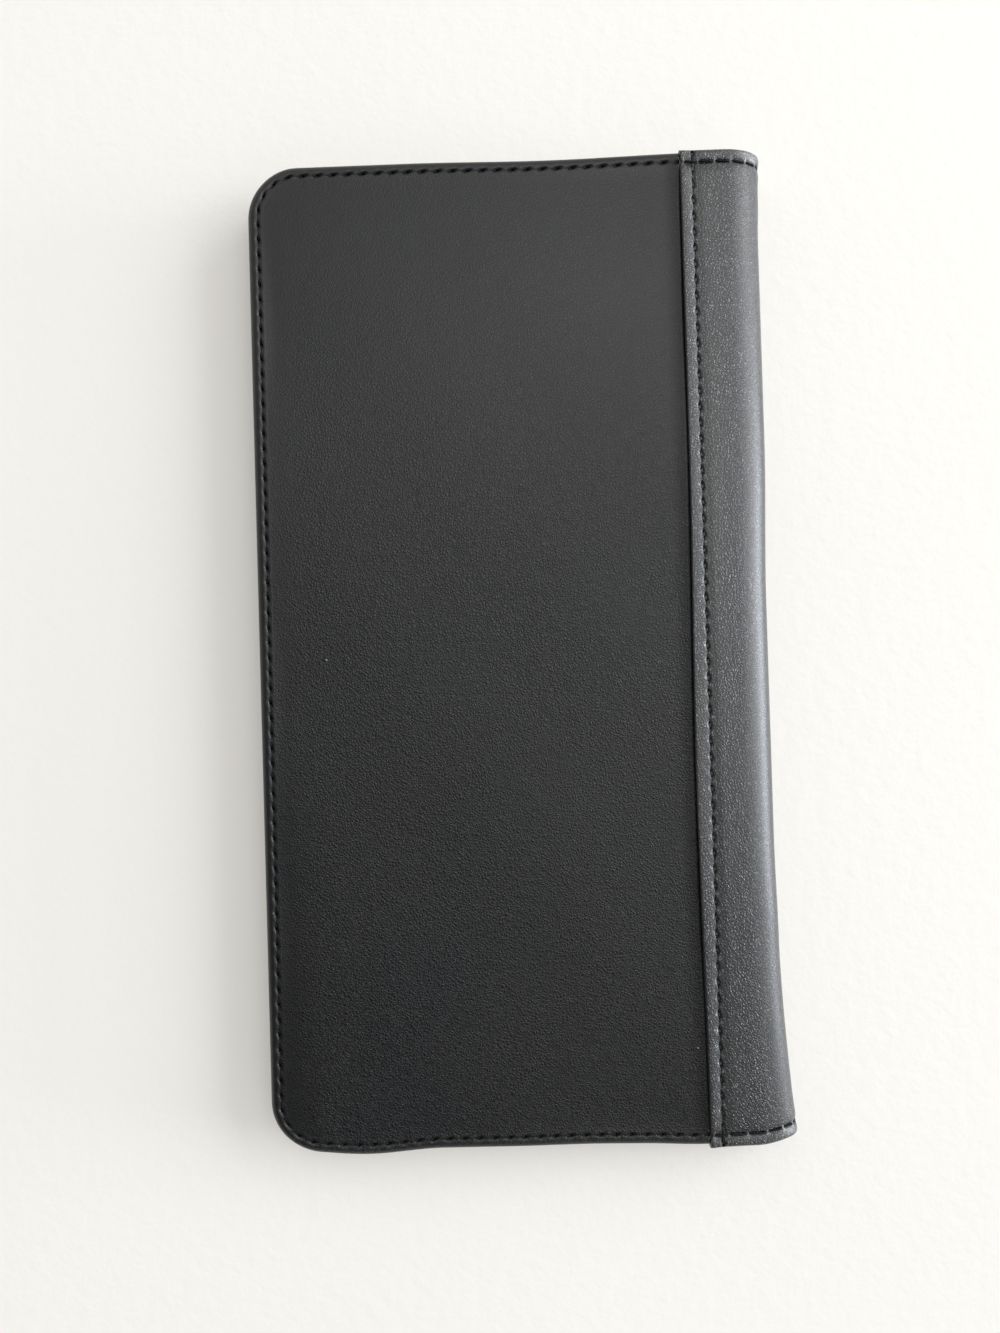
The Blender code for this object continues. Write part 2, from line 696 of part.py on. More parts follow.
def main():
    clear_scene()
    back_carrier = Carrier("back_cover_origin", (0.0, 0.0, 0.0))
    spine_carrier = Carrier("back_fold_line", BACK_FOLD, back_carrier)
    front_carrier = Carrier("front_fold_line", FRONT_FOLD, spine_carrier)
    back = Half("back", back_carrier, 0.0, 1.0, 0.0)
    front = Half("front", front_carrier, FIELD_HEIGHT, -1.0, FRONT_LAP_RISE)

    add_shell(back)
    add_long_pocket(back, "ticket_pocket")
    for index in range(SLOT_COUNT):
        add_card_slot(back, index)
    add_passport_pocket(back)

    add_spine_bend(back, spine_carrier)
    add_spine_lining(back, spine_carrier)
    add_spine_thread("spine_top_thread", back, 1, spine_carrier)
    add_spine_thread("spine_bottom_thread", back, -1, spine_carrier)

    add_shell(front)
    add_long_pocket(front, "document_pocket")
    add_boarding_pass_pocket(front)
    add_window_film(front)
    add_window_frame(front)


main()
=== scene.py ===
"""The travel wallet's looks: turned leather, stitches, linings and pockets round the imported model.

Metres, in the frame's own axes: +Z up out of the front cover, +Y along the length, +X at the spine.
Both halves come from the same functions. A half is drawn by its depth under its own outer face.
"""

import json
import math

import bmesh
import bpy
import numpy as np
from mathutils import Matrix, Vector
from mathutils.geometry import delaunay_2d_cdt


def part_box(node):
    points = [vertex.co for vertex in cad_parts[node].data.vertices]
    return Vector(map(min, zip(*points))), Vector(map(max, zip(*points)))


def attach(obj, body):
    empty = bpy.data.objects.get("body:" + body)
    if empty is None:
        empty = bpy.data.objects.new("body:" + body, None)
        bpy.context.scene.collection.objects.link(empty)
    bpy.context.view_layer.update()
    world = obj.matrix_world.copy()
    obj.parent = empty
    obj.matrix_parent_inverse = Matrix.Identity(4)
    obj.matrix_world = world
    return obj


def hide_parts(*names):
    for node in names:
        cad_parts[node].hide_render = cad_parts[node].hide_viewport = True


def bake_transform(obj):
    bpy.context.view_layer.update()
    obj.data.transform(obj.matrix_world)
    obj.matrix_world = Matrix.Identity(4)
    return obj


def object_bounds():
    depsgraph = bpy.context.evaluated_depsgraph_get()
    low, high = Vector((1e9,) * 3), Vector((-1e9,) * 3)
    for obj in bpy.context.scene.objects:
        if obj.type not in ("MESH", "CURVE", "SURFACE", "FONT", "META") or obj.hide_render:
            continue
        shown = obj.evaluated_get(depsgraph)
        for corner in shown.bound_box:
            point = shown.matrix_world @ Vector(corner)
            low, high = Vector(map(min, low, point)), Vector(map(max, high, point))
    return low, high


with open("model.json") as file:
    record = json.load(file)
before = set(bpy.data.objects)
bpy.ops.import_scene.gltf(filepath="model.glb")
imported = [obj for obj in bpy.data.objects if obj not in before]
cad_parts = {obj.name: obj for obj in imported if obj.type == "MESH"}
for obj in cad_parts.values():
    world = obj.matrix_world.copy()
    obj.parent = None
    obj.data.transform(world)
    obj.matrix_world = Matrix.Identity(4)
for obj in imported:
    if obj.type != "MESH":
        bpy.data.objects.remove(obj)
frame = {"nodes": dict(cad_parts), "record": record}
CAD_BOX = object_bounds()

# Camera, fitted to the outline in the photograph of 1000 x 1333 pixels
FOCAL_PIXELS = 1000
LONG_SIDE_PIXELS = 1333
CAMERA_PLACE = (0.00021, -0.00613, 0.24396)
CAMERA_TURN = (0.630, 1.056, -1.687)

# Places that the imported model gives
FREE_EDGE = CAD_BOX[0].x
SPINE_EDGE = CAD_BOX[1].x
HALF_LENGTH = CAD_BOX[1].y
TOP = CAD_BOX[1].z
FRONT_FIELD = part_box("front_cover_leather")[1].z
COVER_HALF_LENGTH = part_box("front_cover_leather")[1].y
EDGE_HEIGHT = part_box("back_cover_leather")[1].z
LAP_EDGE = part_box("spine_front_lap")[0].x
SEAM_LINE = sum(corner.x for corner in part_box("front_seam_thread")) / 2
BOARD_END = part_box("back_board")[1].x
LAYER_GAP = 0.00025
LINING_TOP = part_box("back_board")[1].z + LAYER_GAP
LINING = 0.0004

# Leather edge
CORNER_RADIUS = 0.0115
TURN_IN = 0.0085
OUTER_ROLL = 0.0019
INNER_ROLL = 0.0015
STRIP_ROLL = 0.0011
SHELL_LEATHER = 0.0014
STRIP_LEATHER = 0.0007
COVER_END = LAP_EDGE - 0.0002
HIDDEN_END = 0.0014
HIDDEN_SINK = 0.0003

# Spine strip: a flat lap, then half of a half-round nose
NOSE_DEPTH = 0.010
NOSE_RISE = TOP / 2
NOSE_START = SPINE_EDGE - NOSE_DEPTH
LINING_FALL = 0.0045
FOLD_ROLL = 0.00045
CORNER_DIP_TOP = 0.0
CORNER_DIP_BOTTOM = 0.0008

# How much of the paper's white shows whatever the light on it
PAPER_GLOW = 0.18

# Stitches
STITCH_INSET = 0.0026
END_INSET = 0.0029
EDGE_PITCH = 0.0035
SEAM_PITCH = 0.0037
FIRST_END_HOLE = 0.0009
THREAD_RADIUS = 0.0002
THREAD_TURNS = 2.25
THREAD_RINGS = 11
THREAD_SIDES = 10
STITCH_PHASES = (0.0, 0.07, 0.16, 0.30, 0.50, 0.70, 0.84, 0.93)
FAR = 9.0

# Pockets: their thin leather, their mouths, and the identity window's frame
SLOT_LEATHER = 0.0005
SLOT_TUCK = 0.0155
MOUTH_ROLL = 0.00022
MOUTH_LINE = 0.0016
MOUTH_BAND = 0.0040
MOUTH_STITCH_INSET = 0.0028
SIDE_STITCH_INSET = 0.0022
LONG_NOTCH = (0.030, 0.005)
THUMB_NOTCH = (0.016, 0.006)
PASS_SLANT = 0.014
FRAME_BORDER = 0.0070
FRAME_LINE = 0.0015
FRAME_STITCH_INSET = 0.0030


def smooth(value):
    """0 below 0, 1 above 1, and a smooth rise between."""
    share = np.clip(value, 0.0, 1.0)
    return share * share * (3 - 2 * share)


def hump(value):
    """1 at 0, falling smoothly to 0 at -1 and 1."""
    return 1 - smooth(np.abs(value))


class Half:
    """One half of the wallet: where its outer face lies, and which way depth runs."""

    def __init__(self, side, field, strip_top, inward):
        self.side = side
        self.body = side + "_cover"
        self.field = field
        self.strip_top = strip_top
        self.inward = inward
        self.lap_rise = abs(strip_top - field)

    def height(self, depth):
        return self.field + self.inward * depth

    def span(self, node):
        """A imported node's left, right, bottom, top, and its outer and inner depth."""
        low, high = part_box(node)
        depths = sorted((corner.z - self.field) * self.inward for corner in (low, high))
        return low.x, high.x, low.y, high.y, depths[0], depths[1]


BACK = Half("back", 0.0, 0.0, 1.0)
FRONT = Half("front", FRONT_FIELD, TOP, -1.0)


def add_object(name, data):
    made = bpy.data.objects.new(name, data)
    bpy.context.scene.collection.objects.link(made)
    return made


def make_camera():
    data = bpy.data.cameras.new("camera")
    data.lens = FOCAL_PIXELS / LONG_SIDE_PIXELS * data.sensor_width
    data.clip_start = 0.01
    camera = add_object("camera", data)
    camera.location = CAMERA_PLACE
    camera.rotation_euler = [math.radians(turn) for turn in CAMERA_TURN]
    bpy.context.scene.camera = camera


class Paint:
    """A material and a short way to add nodes to it."""

    def __init__(self, name):
        self.material = bpy.data.materials.new(name)
        self.material.use_nodes = True
        self.tree = self.material.node_tree
        self.shader = self.tree.nodes["Principled BSDF"]
        self.place = self.tree.nodes.new("ShaderNodeTexCoord").outputs["Object"]

    def join(self, socket, value):
        if isinstance(value, bpy.types.NodeSocket):
            self.tree.links.new(value, socket)
        else:
            socket.default_value = value

    def put(self, node, values):
        for name, value in values.items():
            self.join(node.inputs[name], value)
        return node

    def set(self, values):
        self.put(self.shader, values)

    def node(self, kind, **settings):
        made = self.tree.nodes.new("ShaderNode" + kind)
        for name, value in settings.items():
            setattr(made, name, value)
        return made

    def noise(self, scale, detail=2.0, roughness=0.5, output="Fac"):
        values = {"Vector": self.place, "Scale": scale, "Detail": detail, "Roughness": roughness}
        return self.put(self.node("TexNoise"), values).outputs[output]

    def cells(self, scale, feature="F1", place=None):
        values = {"Vector": place or self.place, "Scale": scale}
        return self.put(self.node("TexVoronoi", feature=feature), values).outputs["Distance"]

    def remap(self, value, low, high, to_low=0.0, to_high=1.0):
        values = {"Value": value, "From Min": low, "From Max": high, "To Min": to_low, "To Max": to_high}
        return self.put(self.node("MapRange"), values).outputs["Result"]

    def math(self, operation, first, second):
        made = self.node("Math", operation=operation)
        self.join(made.inputs[0], first)
        self.join(made.inputs[1], second)
        return made.outputs[0]

    def warped(self, scale, amount):
        """The place, pushed about by a soft noise."""
        made = self.node("VectorMath", operation="MULTIPLY_ADD")
        self.join(made.inputs[0], self.noise(scale, output="Color"))
        made.inputs[1].default_value = (amount, amount, amount)
        self.join(made.inputs[2], self.place)
        return made.outputs["Vector"]

    def blend(self, share, first, second):
        made = self.node("Mix", data_type="RGBA")
        for index, value in ((0, share), (6, first), (7, second)):
            self.join(made.inputs[index], value)
        return made.outputs[2]

    def attribute(self, name):
        return self.node("Attribute", attribute_name=name).outputs["Fac"]

    def bump(self, height, distance, strength=1.0, normal=None):
        made = self.put(self.node("Bump"), {"Height": height, "Distance": distance, "Strength": strength})
        if normal:
            self.join(made.inputs["Normal"], normal)
        return made.outputs["Normal"]


def grey(level, tint=(1.0, 1.0, 1.0)):
    return (level * tint[0], level * tint[1], level * tint[2], 1.0)


def make_leather(name, level, roughness, grain=1500.0, relief=0.00005, smooth_top=0.0, coat=0.0):
    """Black leather: a fine pebbled grain, faint patches, pale spots and a few dust specks.

    A mesh's pale mark makes it pale: rubbed wear on the rims near the corners, and a painted highlight on
    the stitches' puckers and the lap's ridge.
    Its dark mark makes it dark and dull: painted shade in the needle holes and along the threads, and the
    lap's painted shadow beside the fold.
    The grain fades towards the upper end and the free edge by the share that smooth_top gives.
    """
    paint = Paint(name)
    patches = paint.noise(22.0, detail=3.0)
    mottle = paint.noise(420.0, detail=3.0, roughness=0.6)
    tint = paint.remap(patches, 0.35, 0.65)
    colour = paint.blend(tint, grey(level, (0.94, 1.0, 1.10)), grey(level, (1.05, 1.0, 0.95)))
    colour = paint.blend(paint.remap(mottle, 0.45, 0.75, 0.0, 0.35), colour, grey(level * 2.0))
    pebble = paint.remap(paint.cells(grain, "DISTANCE_TO_EDGE", paint.warped(700.0, 0.0007)), 0.0, 0.30)
    tops = paint.remap(pebble, 0.1, 0.8, 0.2, 1.0)
    tops = paint.math("MULTIPLY", paint.remap(mottle, 0.30, 0.65, 0.5, 1.0), tops)
    # Pale on the grain's tops by the mesh's pale mark: rubbed wear in part, painted highlight in part
    paleness = paint.math("MULTIPLY", paint.attribute("wear_and_highlight"), tops)
    colour = paint.blend(paleness, colour, grey(0.48))
    sparse = paint.remap(paint.noise(60.0, detail=1.0), 0.56, 0.60)
    dust = paint.math("MULTIPLY", paint.remap(paint.cells(95.0), 0.020, 0.028, 1.0, 0.0), sparse)
    colour = paint.blend(paint.math("MULTIPLY", dust, 0.5), colour, grey(0.30))
    # Painted shade: the mesh's dark mark turns the colour nearly black and brownish in the needle holes,
    # along the threads and beside the lap
    painted_shade = paint.attribute("painted_shade")
    colour = paint.blend(painted_shade, colour, grey(level * 0.2, (1.1, 1.0, 0.85)))

    fine = paint.noise(grain * 2.4, detail=2.0)
    height = paint.math("ADD", pebble, paint.math("MULTIPLY", fine, 0.7))
    along = paint.node("SeparateXYZ")
    paint.join(along.inputs[0], paint.place)
    strength = paint.remap(along.outputs["Y"], 0.0, 0.085, 1.0, 1.0 - smooth_top)
    edge_start = FREE_EDGE + 0.005
    from_edge = paint.remap(along.outputs["X"], edge_start, edge_start + 0.008, 1.0 - 0.8 * smooth_top, 1.0)
    strength = paint.math("MULTIPLY", strength, from_edge)
    broad = paint.bump(paint.noise(150.0), 0.00012, 0.5)
    gloss = paint.remap(patches, 0.3, 0.7, roughness - 0.02, roughness + 0.02)
    gloss = paint.math("ADD", gloss, paint.remap(pebble, 0.0, 0.6, 0.10, 0.0))
    gloss = paint.math("ADD", gloss, paint.math("MULTIPLY", paleness, 0.15))
    paint.set({"Base Color": colour, "Roughness": gloss, "IOR": 1.48})
    # The painted shade also takes away gloss and coat
    paint.set({"Specular IOR Level": paint.remap(painted_shade, 0.0, 1.0, 0.5, 0.03)})
    paint.set({"Normal": paint.bump(height, relief, strength, broad)})
    paint.set({"Coat Weight": paint.remap(painted_shade, 0.0, 1.0, coat, 0.0), "Coat Roughness": 0.41})
    return paint.material


def make_thread_paint():
    paint = Paint("thread")
    fibre = paint.noise(5200.0, roughness=0.6)
    colour = paint.blend(paint.remap(fibre, 0.35, 0.7), grey(0.002), grey(0.008))
    paint.set({"Base Color": colour, "Normal": paint.bump(fibre, 0.00005)})
    paint.set({"Roughness": 0.7, "Specular IOR Level": 0.2})
    return paint.material


def make_cloth():
    """A fine plain weave: two sets of ribs across each other."""
    paint = Paint("lining")
    ribs = []
    for direction in ("X", "Y"):
        wave = paint.node("TexWave", bands_direction=direction)
        values = {"Vector": paint.place, "Scale": 700.0, "Distortion": 0.6, "Detail": 1.0}
        ribs.append(paint.put(wave, values).outputs["Fac"])
    weave = paint.math("MULTIPLY", ribs[0], ribs[1])
    patches = paint.noise(40.0)
    colour = paint.blend(weave, grey(0.010), grey(0.028, (0.96, 1.0, 1.08)))
    colour = paint.blend(paint.remap(patches, 0.4, 0.7, 0.0, 0.25), colour, grey(0.035))
    paint.set({"Base Color": colour, "Normal": paint.bump(weave, 0.0001)})
    paint.set({"Roughness": 0.85, "Sheen Weight": 0.25})
    return paint.material


def make_board_paint():
    paint = Paint("board")
    fibre = paint.noise(900.0, detail=4.0, roughness=0.7)
    colour = paint.blend(fibre, grey(0.22, (1.0, 0.94, 0.86)), grey(0.36, (1.0, 0.94, 0.86)))
    paint.set({"Base Color": colour, "Normal": paint.bump(fibre, 0.0001), "Roughness": 0.9})
    return paint.material


def make_film_paint():
    paint = Paint("film")
    waves = paint.noise(60.0)
    paint.set({"Base Color": grey(0.92), "Normal": paint.bump(waves, 0.0006, 0.4)})
    paint.set({"Roughness": paint.remap(waves, 0.3, 0.7, 0.04, 0.10)})
    paint.set({"Transmission Weight": 1.0, "IOR": 1.45})
    return paint.material


def make_floor():
    """A pale sheet of paper under the wallet, faintly mottled."""
    paint = Paint("paper")
    tone = paint.noise(6.0, detail=3.0)
    fibre = paint.noise(260.0, detail=4.0, roughness=0.6)
    colour = paint.blend(tone, grey(0.84, (1.0, 0.968, 0.91)), grey(0.88, (1.0, 0.972, 0.92)))
    paint.set({"Base Color": colour, "Normal": paint.bump(fibre, 0.0002, 0.5)})
    paint.set({"Roughness": 0.8, "Specular IOR Level": 0.2})
    seen = paint.node("LightPath").outputs
    looks = paint.math("MAXIMUM", seen["Is Camera Ray"], seen["Is Glossy Ray"])
    looks = paint.math("MAXIMUM", looks, seen["Is Transmission Ray"])
    glow = paint.put(paint.node("Emission"), {"Color": grey(1.0, (1.0, 0.97, 0.91)), "Strength": 1.0})
    mixed = paint.node("MixShader")
    paint.join(mixed.inputs[0], paint.math("MULTIPLY", looks, PAPER_GLOW))
    paint.tree.links.new(paint.shader.outputs[0], mixed.inputs[1])
    paint.tree.links.new(glow.outputs[0], mixed.inputs[2])
    paint.tree.links.new(mixed.outputs[0], paint.tree.nodes["Material Output"].inputs["Surface"])
    mesh = bpy.data.meshes.new("floor")
    reach = 4.0
    corners = [(-reach, -reach, 0.0), (reach, -reach, 0.0), (reach, reach, 0.0), (-reach, reach, 0.0)]
    mesh.from_pydata(corners, [], [(0, 1, 2, 3)])
    mesh.materials.append(paint.material)
    floor = add_object("floor", mesh)


def add_lamp(name, distance, azimuth, elevation, size, power, colour):
    """A soft lamp aimed at the wallet. Azimuth runs from +X towards +Y, elevation up from the floor."""
    data = bpy.data.lights.new(name, "AREA")
    data.shape = "RECTANGLE"
    data.size, data.size_y = size
    data.energy = power
    data.color = colour
    lamp = add_object(name, data)
    around, above = math.radians(azimuth), math.radians(elevation)
    away = Vector((math.cos(around) * math.cos(above), math.sin(around) * math.cos(above), math.sin(above)))
    lamp.location = away * distance
    lamp.rotation_euler = away.to_track_quat("Z", "Y").to_euler()


def make_world():
    """A soft room, dim overhead towards the near side and pale lower down."""
    world = bpy.data.worlds.new("room")
    bpy.context.scene.world = world
    world.use_nodes = True
    tree = world.node_tree
    place = tree.nodes.new("ShaderNodeTexCoord")
    dot = tree.nodes.new("ShaderNodeVectorMath")
    dot.operation = "DOT_PRODUCT"
    tree.links.new(place.outputs["Generated"], dot.inputs[0])
    dot.inputs[1].default_value = Vector((-0.42, -0.44, 0.80)).normalized()
    ramp = tree.nodes.new("ShaderNodeValToRGB")
    tree.links.new(dot.outputs["Value"], ramp.inputs[0])
    stops = ramp.color_ramp.elements
    stops[0].position, stops[0].color = 0.45, (0.80, 0.81, 0.82, 1.0)
    stops[1].position, stops[1].color = 0.92, (0.02, 0.02, 0.022, 1.0)
    middle = stops.new(0.77)
    middle.color = (0.30, 0.31, 0.325, 1.0)
    tree.links.new(ramp.outputs["Color"], tree.nodes["Background"].inputs["Color"])


def make_lights():
    make_world()
    add_lamp("window", 2.6, 18.0, 27.0, (2.3, 1.3), 52.5, (0.94, 0.97, 1.0))
    add_lamp("low_light", 2.6, 0.0, 6.5, (1.3, 0.54), 61.0, (0.84, 0.90, 1.0))
    add_lamp("top_light", 1.5, 55.0, 74.0, (1.0, 1.0), 7.0, (1.0, 0.99, 0.975))


def settle(points):
    """The small irregularities of a soft case: its outline is drawn in and swells here and there."""
    made = np.array(points, float)
    x, y = made[:, 0].copy(), made[:, 1].copy()
    near_top = np.clip(y / HALF_LENGTH, 0.0, 1.0) ** 3
    near_bottom = np.clip(-y / HALF_LENGTH, 0.0, 1.0) ** 3
    on_cover = smooth((x + 0.060) / 0.012) * (1 - smooth((x - LAP_EDGE + 0.0002) / 0.0004))
    made[:, 1] += 0.0005 * (1 - hump((x - 0.011) / 0.034)) * on_cover * near_top
    made[:, 1] -= (0.0011 * hump((x + 0.038) / 0.018) + 0.0004 * hump((x - 0.039) / 0.012)) * near_bottom
    made[:, 1] += 0.0002 * hump((x - 0.014) / 0.018) * near_bottom
    on_strip = smooth((x - LAP_EDGE + 0.0002) / 0.0004)
    made[:, 1] += (0.00025 * near_top - 0.0002 * near_bottom) * on_strip
    made[:, 0] -= 0.0002 * smooth((-0.045 - x) / 0.010)
    at_nose = smooth((x - SEAM_LINE) / 0.012)
    swell = 0.0001 - 0.0008 * smooth((0.048 - y) / 0.038) + 0.0004 * smooth((-0.045 - y) / 0.025)
    swell += 0.0024 * np.clip((-0.070 - y) / 0.040, 0.0, 1.0) ** 1.5 + 0.0003 * smooth((y - 0.095) / 0.010)
    swell += 0.0005 * smooth((np.abs(y) - 0.107) / 0.006)
    made[:, 0] += swell * at_nose
    fold = SEAM_LINE - 0.00295 - 0.00075 * hump((y + 0.030) / 0.075)
    at_fold = smooth((x - LAP_EDGE + 0.012) / 0.010) * (1 - smooth((x - LAP_EDGE - 0.0004) / 0.0019))
    made[:, 0] += (fold - LAP_EDGE) * at_fold
    made[:, 2] = np.clip(made[:, 2], 0.0, TOP)
    return made


def ripple(x, y):
    """How far a leather face lies under its plane, from the soft layers below it."""
    waves = 0.00007 * np.sin(x * 62 + 1.1) * np.sin(y * 47 + 0.6)
    waves += 0.00005 * np.sin(x * 121 + y * 85 + 2.0) + 0.00004 * np.sin(y * 139 - x * 58)
    return waves + 0.00016


class Row:
    """A row of stitches: its holes along a line, and what they do to the leather beside them.

    A place is given by its distance along the row and across it, which is negative on the outer side.
    A tight row shows its thread as long dashes of painted shade, with a painted highlight on the puckers
    between them.
    Other rows show a slanted slot of painted shade at each hole, and a painted highlight on the pucker
    beside it.
    """

    def __init__(self, start, end, pitch, pull=0.00008, puckering=0.12, dash=0.0008, tight=False):
        count = max(1, round((end - start) / pitch))
        self.holes = np.linspace(start, end, count + 1)
        self.pitch = (end - start) / count
        self.pull = pull
        self.puckering = puckering
        self.dash = dash
        self.tight = tight
        self.uneven = np.random.default_rng(count).uniform(0.3, 1.0, count + 1)

    def nearest(self, along):
        """The distance along from the nearest hole, and how strongly the leather is marked there."""
        after = np.clip(np.searchsorted(self.holes, along), 1, len(self.holes) - 1)
        nearer = np.where(along - self.holes[after - 1] < self.holes[after] - along, after - 1, after)
        return along - self.holes[nearer], self.uneven[nearer]

    def sink(self, across, along):
        """How far the leather is drawn down: a wide valley, the thread's groove, slots and puckers."""
        off, uneven = self.nearest(along)
        valley = self.pull * np.exp(-((across / 0.0015) ** 2))
        if self.tight:
            between = 1 - np.exp(-((off / 0.0004) ** 2))
            return valley + 0.00040 * np.exp(-((across / 0.00036) ** 2)) * between
        groove = 0.00006 * np.exp(-((across / 0.00030) ** 2))
        slot = 0.00060 * np.exp(-(((across + 0.2 * off) / 0.00028) ** 2) - (off / self.dash) ** 4)
        outer = np.exp(-(((across + 0.0007) / 0.00034) ** 2) - (off / 0.0007) ** 2)
        inner = np.exp(-(((across - 0.0007) / 0.00034) ** 2))
        return valley + groove + slot - 0.0002 * self.puckering * uneven * outer - 0.00005 * inner

    def painted_shade(self, across, along):
        """Painted shade: how dark the leather is painted in the slots, and thinly along the thread between
        them.
        """
        off, _ = self.nearest(along)
        line = np.exp(-((across / 0.00017) ** 2))
        if self.tight:
            return np.exp(-((across / 0.00042) ** 2)) * (1 - 0.85 * np.exp(-((off / 0.0004) ** 2)))
        slot = np.exp(-((((across + 0.2 * off) / 0.00031) ** 2) ** 2) - (off / self.dash) ** 4)
        return np.maximum(slot, 0.35 * line)

    def wear_and_highlight(self, across, along):
        """Painted highlight: how pale the leather is painted on the raised pucker beside each hole, and
        beside the thread between.
        """
        off, uneven = self.nearest(along)
        if self.tight:
            return uneven * np.exp(-(((across + 0.0002) / 0.00065) ** 2) - (off / 0.00030) ** 2)
        pucker = uneven * np.exp(-(((across + 0.00074) / 0.00030) ** 2) - ((off - 0.0002) / 0.0006) ** 2)
        between = (np.abs(off) - self.pitch / 2) / 0.0007
        return self.puckering * (pucker + 0.7 * np.exp(-(((across - 0.00042) / 0.00018) ** 2) - between**2))

    def places(self):
        """Places along the row, closer together round each hole."""
        steps = np.diff(self.holes)
        made = self.holes[:-1, None] + steps[:, None] * np.array(STITCH_PHASES)[None]
        return np.append(made.ravel(), self.holes[-1])


def spread(step, growth, reach):
    """Distances from 0 that grow apart, up to a reach."""
    made = [0.0]
    while made[-1] + step < reach:
        made.append(made[-1] + step)
        step *= growth
    return made


def make_piece(name, points, faces, material, marks=(), sharp=50.0):
    mesh = bpy.data.meshes.new(name)
    mesh.from_pydata(np.asarray(points).tolist(), [], faces)
    work = bmesh.new()
    work.from_mesh(mesh)
    bmesh.ops.recalc_face_normals(work, faces=work.faces)
    work.to_mesh(mesh)
    work.free()
    mesh.materials.append(material)
    mesh.shade_smooth()
    mesh.set_sharp_from_angle(angle=math.radians(sharp))
    for mark in marks:
        values = np.asarray(marks[mark], np.float32)
        mesh.attributes.new(mark, "FLOAT", "POINT").data.foreach_set("value", values)
    piece = add_object(name, mesh)
    return piece


def place_piece(piece, body, slot, *nodes):
    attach(piece, body)
    if nodes:
        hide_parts(*nodes)


def grid_faces(rows, columns, closed=False):
    """Quads between rows of points. A closed grid joins each row's end to its start."""
    faces = []
    for row in range(rows - 1):
        for step in range(columns if closed else columns - 1):
            after = (step + 1) % columns
            here = row * columns
            faces.append((here + step, here + after, here + columns + after, here + columns + step))
    return faces


def tube_faces(rings, count):
    """A closed grid of rings, with a face over its first and its last ring."""
    last = (rings - 1) * count
    return grid_faces(rings, count, closed=True) + [tuple(range(count)), tuple(range(last, last + count))]


class EdgeSection:
    """A turned edge in section: arrays over its points, from the outer face round to the flap's end.

    Each point has its inset from the edge and its depth, the way out of the leather there, and how
    far in from the stitches it lies on the outer and on the inner face.
    """

    def __init__(self, height, stitch_inset, reach, roll=OUTER_ROLL):
        outer = min(roll, 0.45 * height)
        inner = min(INNER_ROLL, 0.40 * height)
        quarter = math.pi / 2
        away = spread(0.00013, 1.2, reach)
        near = [-place for place in away if 0 < place < stitch_inset - roll]
        across = sorted(away + near, reverse=True)
        made = [(stitch_inset + place, 0.0, 0.0, -1.0, place, FAR) for place in across]
        for turn in np.linspace(0.0, quarter, 9):
            u, d = outer * (1 - math.sin(turn)), outer * (1 - math.cos(turn))
            made.append((u, d, -math.sin(turn), -math.cos(turn), outer * (1 - turn) - stitch_inset, FAR))
        for turn in np.linspace(0.0, quarter, 7):
            u, d = inner * (1 - math.cos(turn)), height - inner * (1 - math.sin(turn))
            from_row = inner * (1 - quarter + turn) - stitch_inset
            made.append((u, d, -math.cos(turn), math.sin(turn), FAR, from_row))
        for place in reversed(across):
            if inner < stitch_inset + place < TURN_IN - 0.0003:
                made.append((stitch_inset + place, height, 0.0, 1.0, FAR, place))
        made.append((TURN_IN - 0.0002, height - 0.00004, 0.29, 0.96, FAR, FAR))
        made.append((TURN_IN, height - 0.00022, 0.96, 0.29, FAR, FAR))
        self.inset, self.depth, self.out_inset, self.out_depth, self.outer, self.inner = np.array(made).T
        self.outside = self.outer < FAR

    def __len__(self):
        return len(self.inset)

    def on_rows(self, mark, along):
        """A mark of the stitches, one of a row's functions, at a distance along them."""
        inside = self.inner < FAR
        outer = np.where(self.outside, mark(self.outer, along), 0.0)
        return outer + np.where(inside, 0.6 * mark(self.inner, along), 0.0)

    def moved(self, sink):
        """The insets and depths when each point is drawn in by its sink."""
        return self.inset - self.out_inset * sink, self.depth - self.out_depth * sink


class CoverEdge:
    """The line round a cover's three turned edges, measured along its stitches."""

    def __init__(self):
        self.radius = CORNER_RADIUS - STITCH_INSET
        self.straight = COVER_END - (FREE_EDGE + CORNER_RADIUS)
        self.corner = self.radius * math.pi / 2
        self.side = 2 * (COVER_HALF_LENGTH - CORNER_RADIUS)
        self.length = 2 * self.straight + 2 * self.corner + self.side

    def at(self, along):
        """(x, y, inward x, inward y) of the outer edge at a distance along the stitches."""
        side = -1.0 if along < self.length / 2 else 1.0
        left = min(along, self.length - along)
        centre_x, centre_y = FREE_EDGE + CORNER_RADIUS, side * (COVER_HALF_LENGTH - CORNER_RADIUS)
        if left < self.straight:
            return COVER_END - left, side * COVER_HALF_LENGTH, 0.0, -side
        turned = (left - self.straight) / self.radius
        if turned < math.pi / 2:
            out_x, out_y = -math.sin(turned), side * math.cos(turned)
            return centre_x + CORNER_RADIUS * out_x, centre_y + CORNER_RADIUS * out_y, -out_x, -out_y
        down = left - self.straight - self.corner
        return FREE_EDGE, centre_y - side * down, 1.0, 0.0

    def from_corner(self, along):
        left = min(along, self.length - along)
        return left - self.straight - self.corner / 2


COVER_EDGE = CoverEdge()
EDGE_ROW = Row(0.0, COVER_EDGE.length, EDGE_PITCH)
COVER_SECTION = EdgeSection(EDGE_HEIGHT, STITCH_INSET, 0.0059)


def field_dip(x):
    """The cover's face slopes down towards the lap, and runs on under it."""
    return 0.00008 * smooth((x - LAP_EDGE + 0.0055) / 0.0052)


def lap_painted_shadow(x):
    """Painted shadow: the cover's face is painted darker beside the lap that stands over it."""
    return 0.45 * smooth((x - LAP_EDGE + 0.0050) / 0.0048)


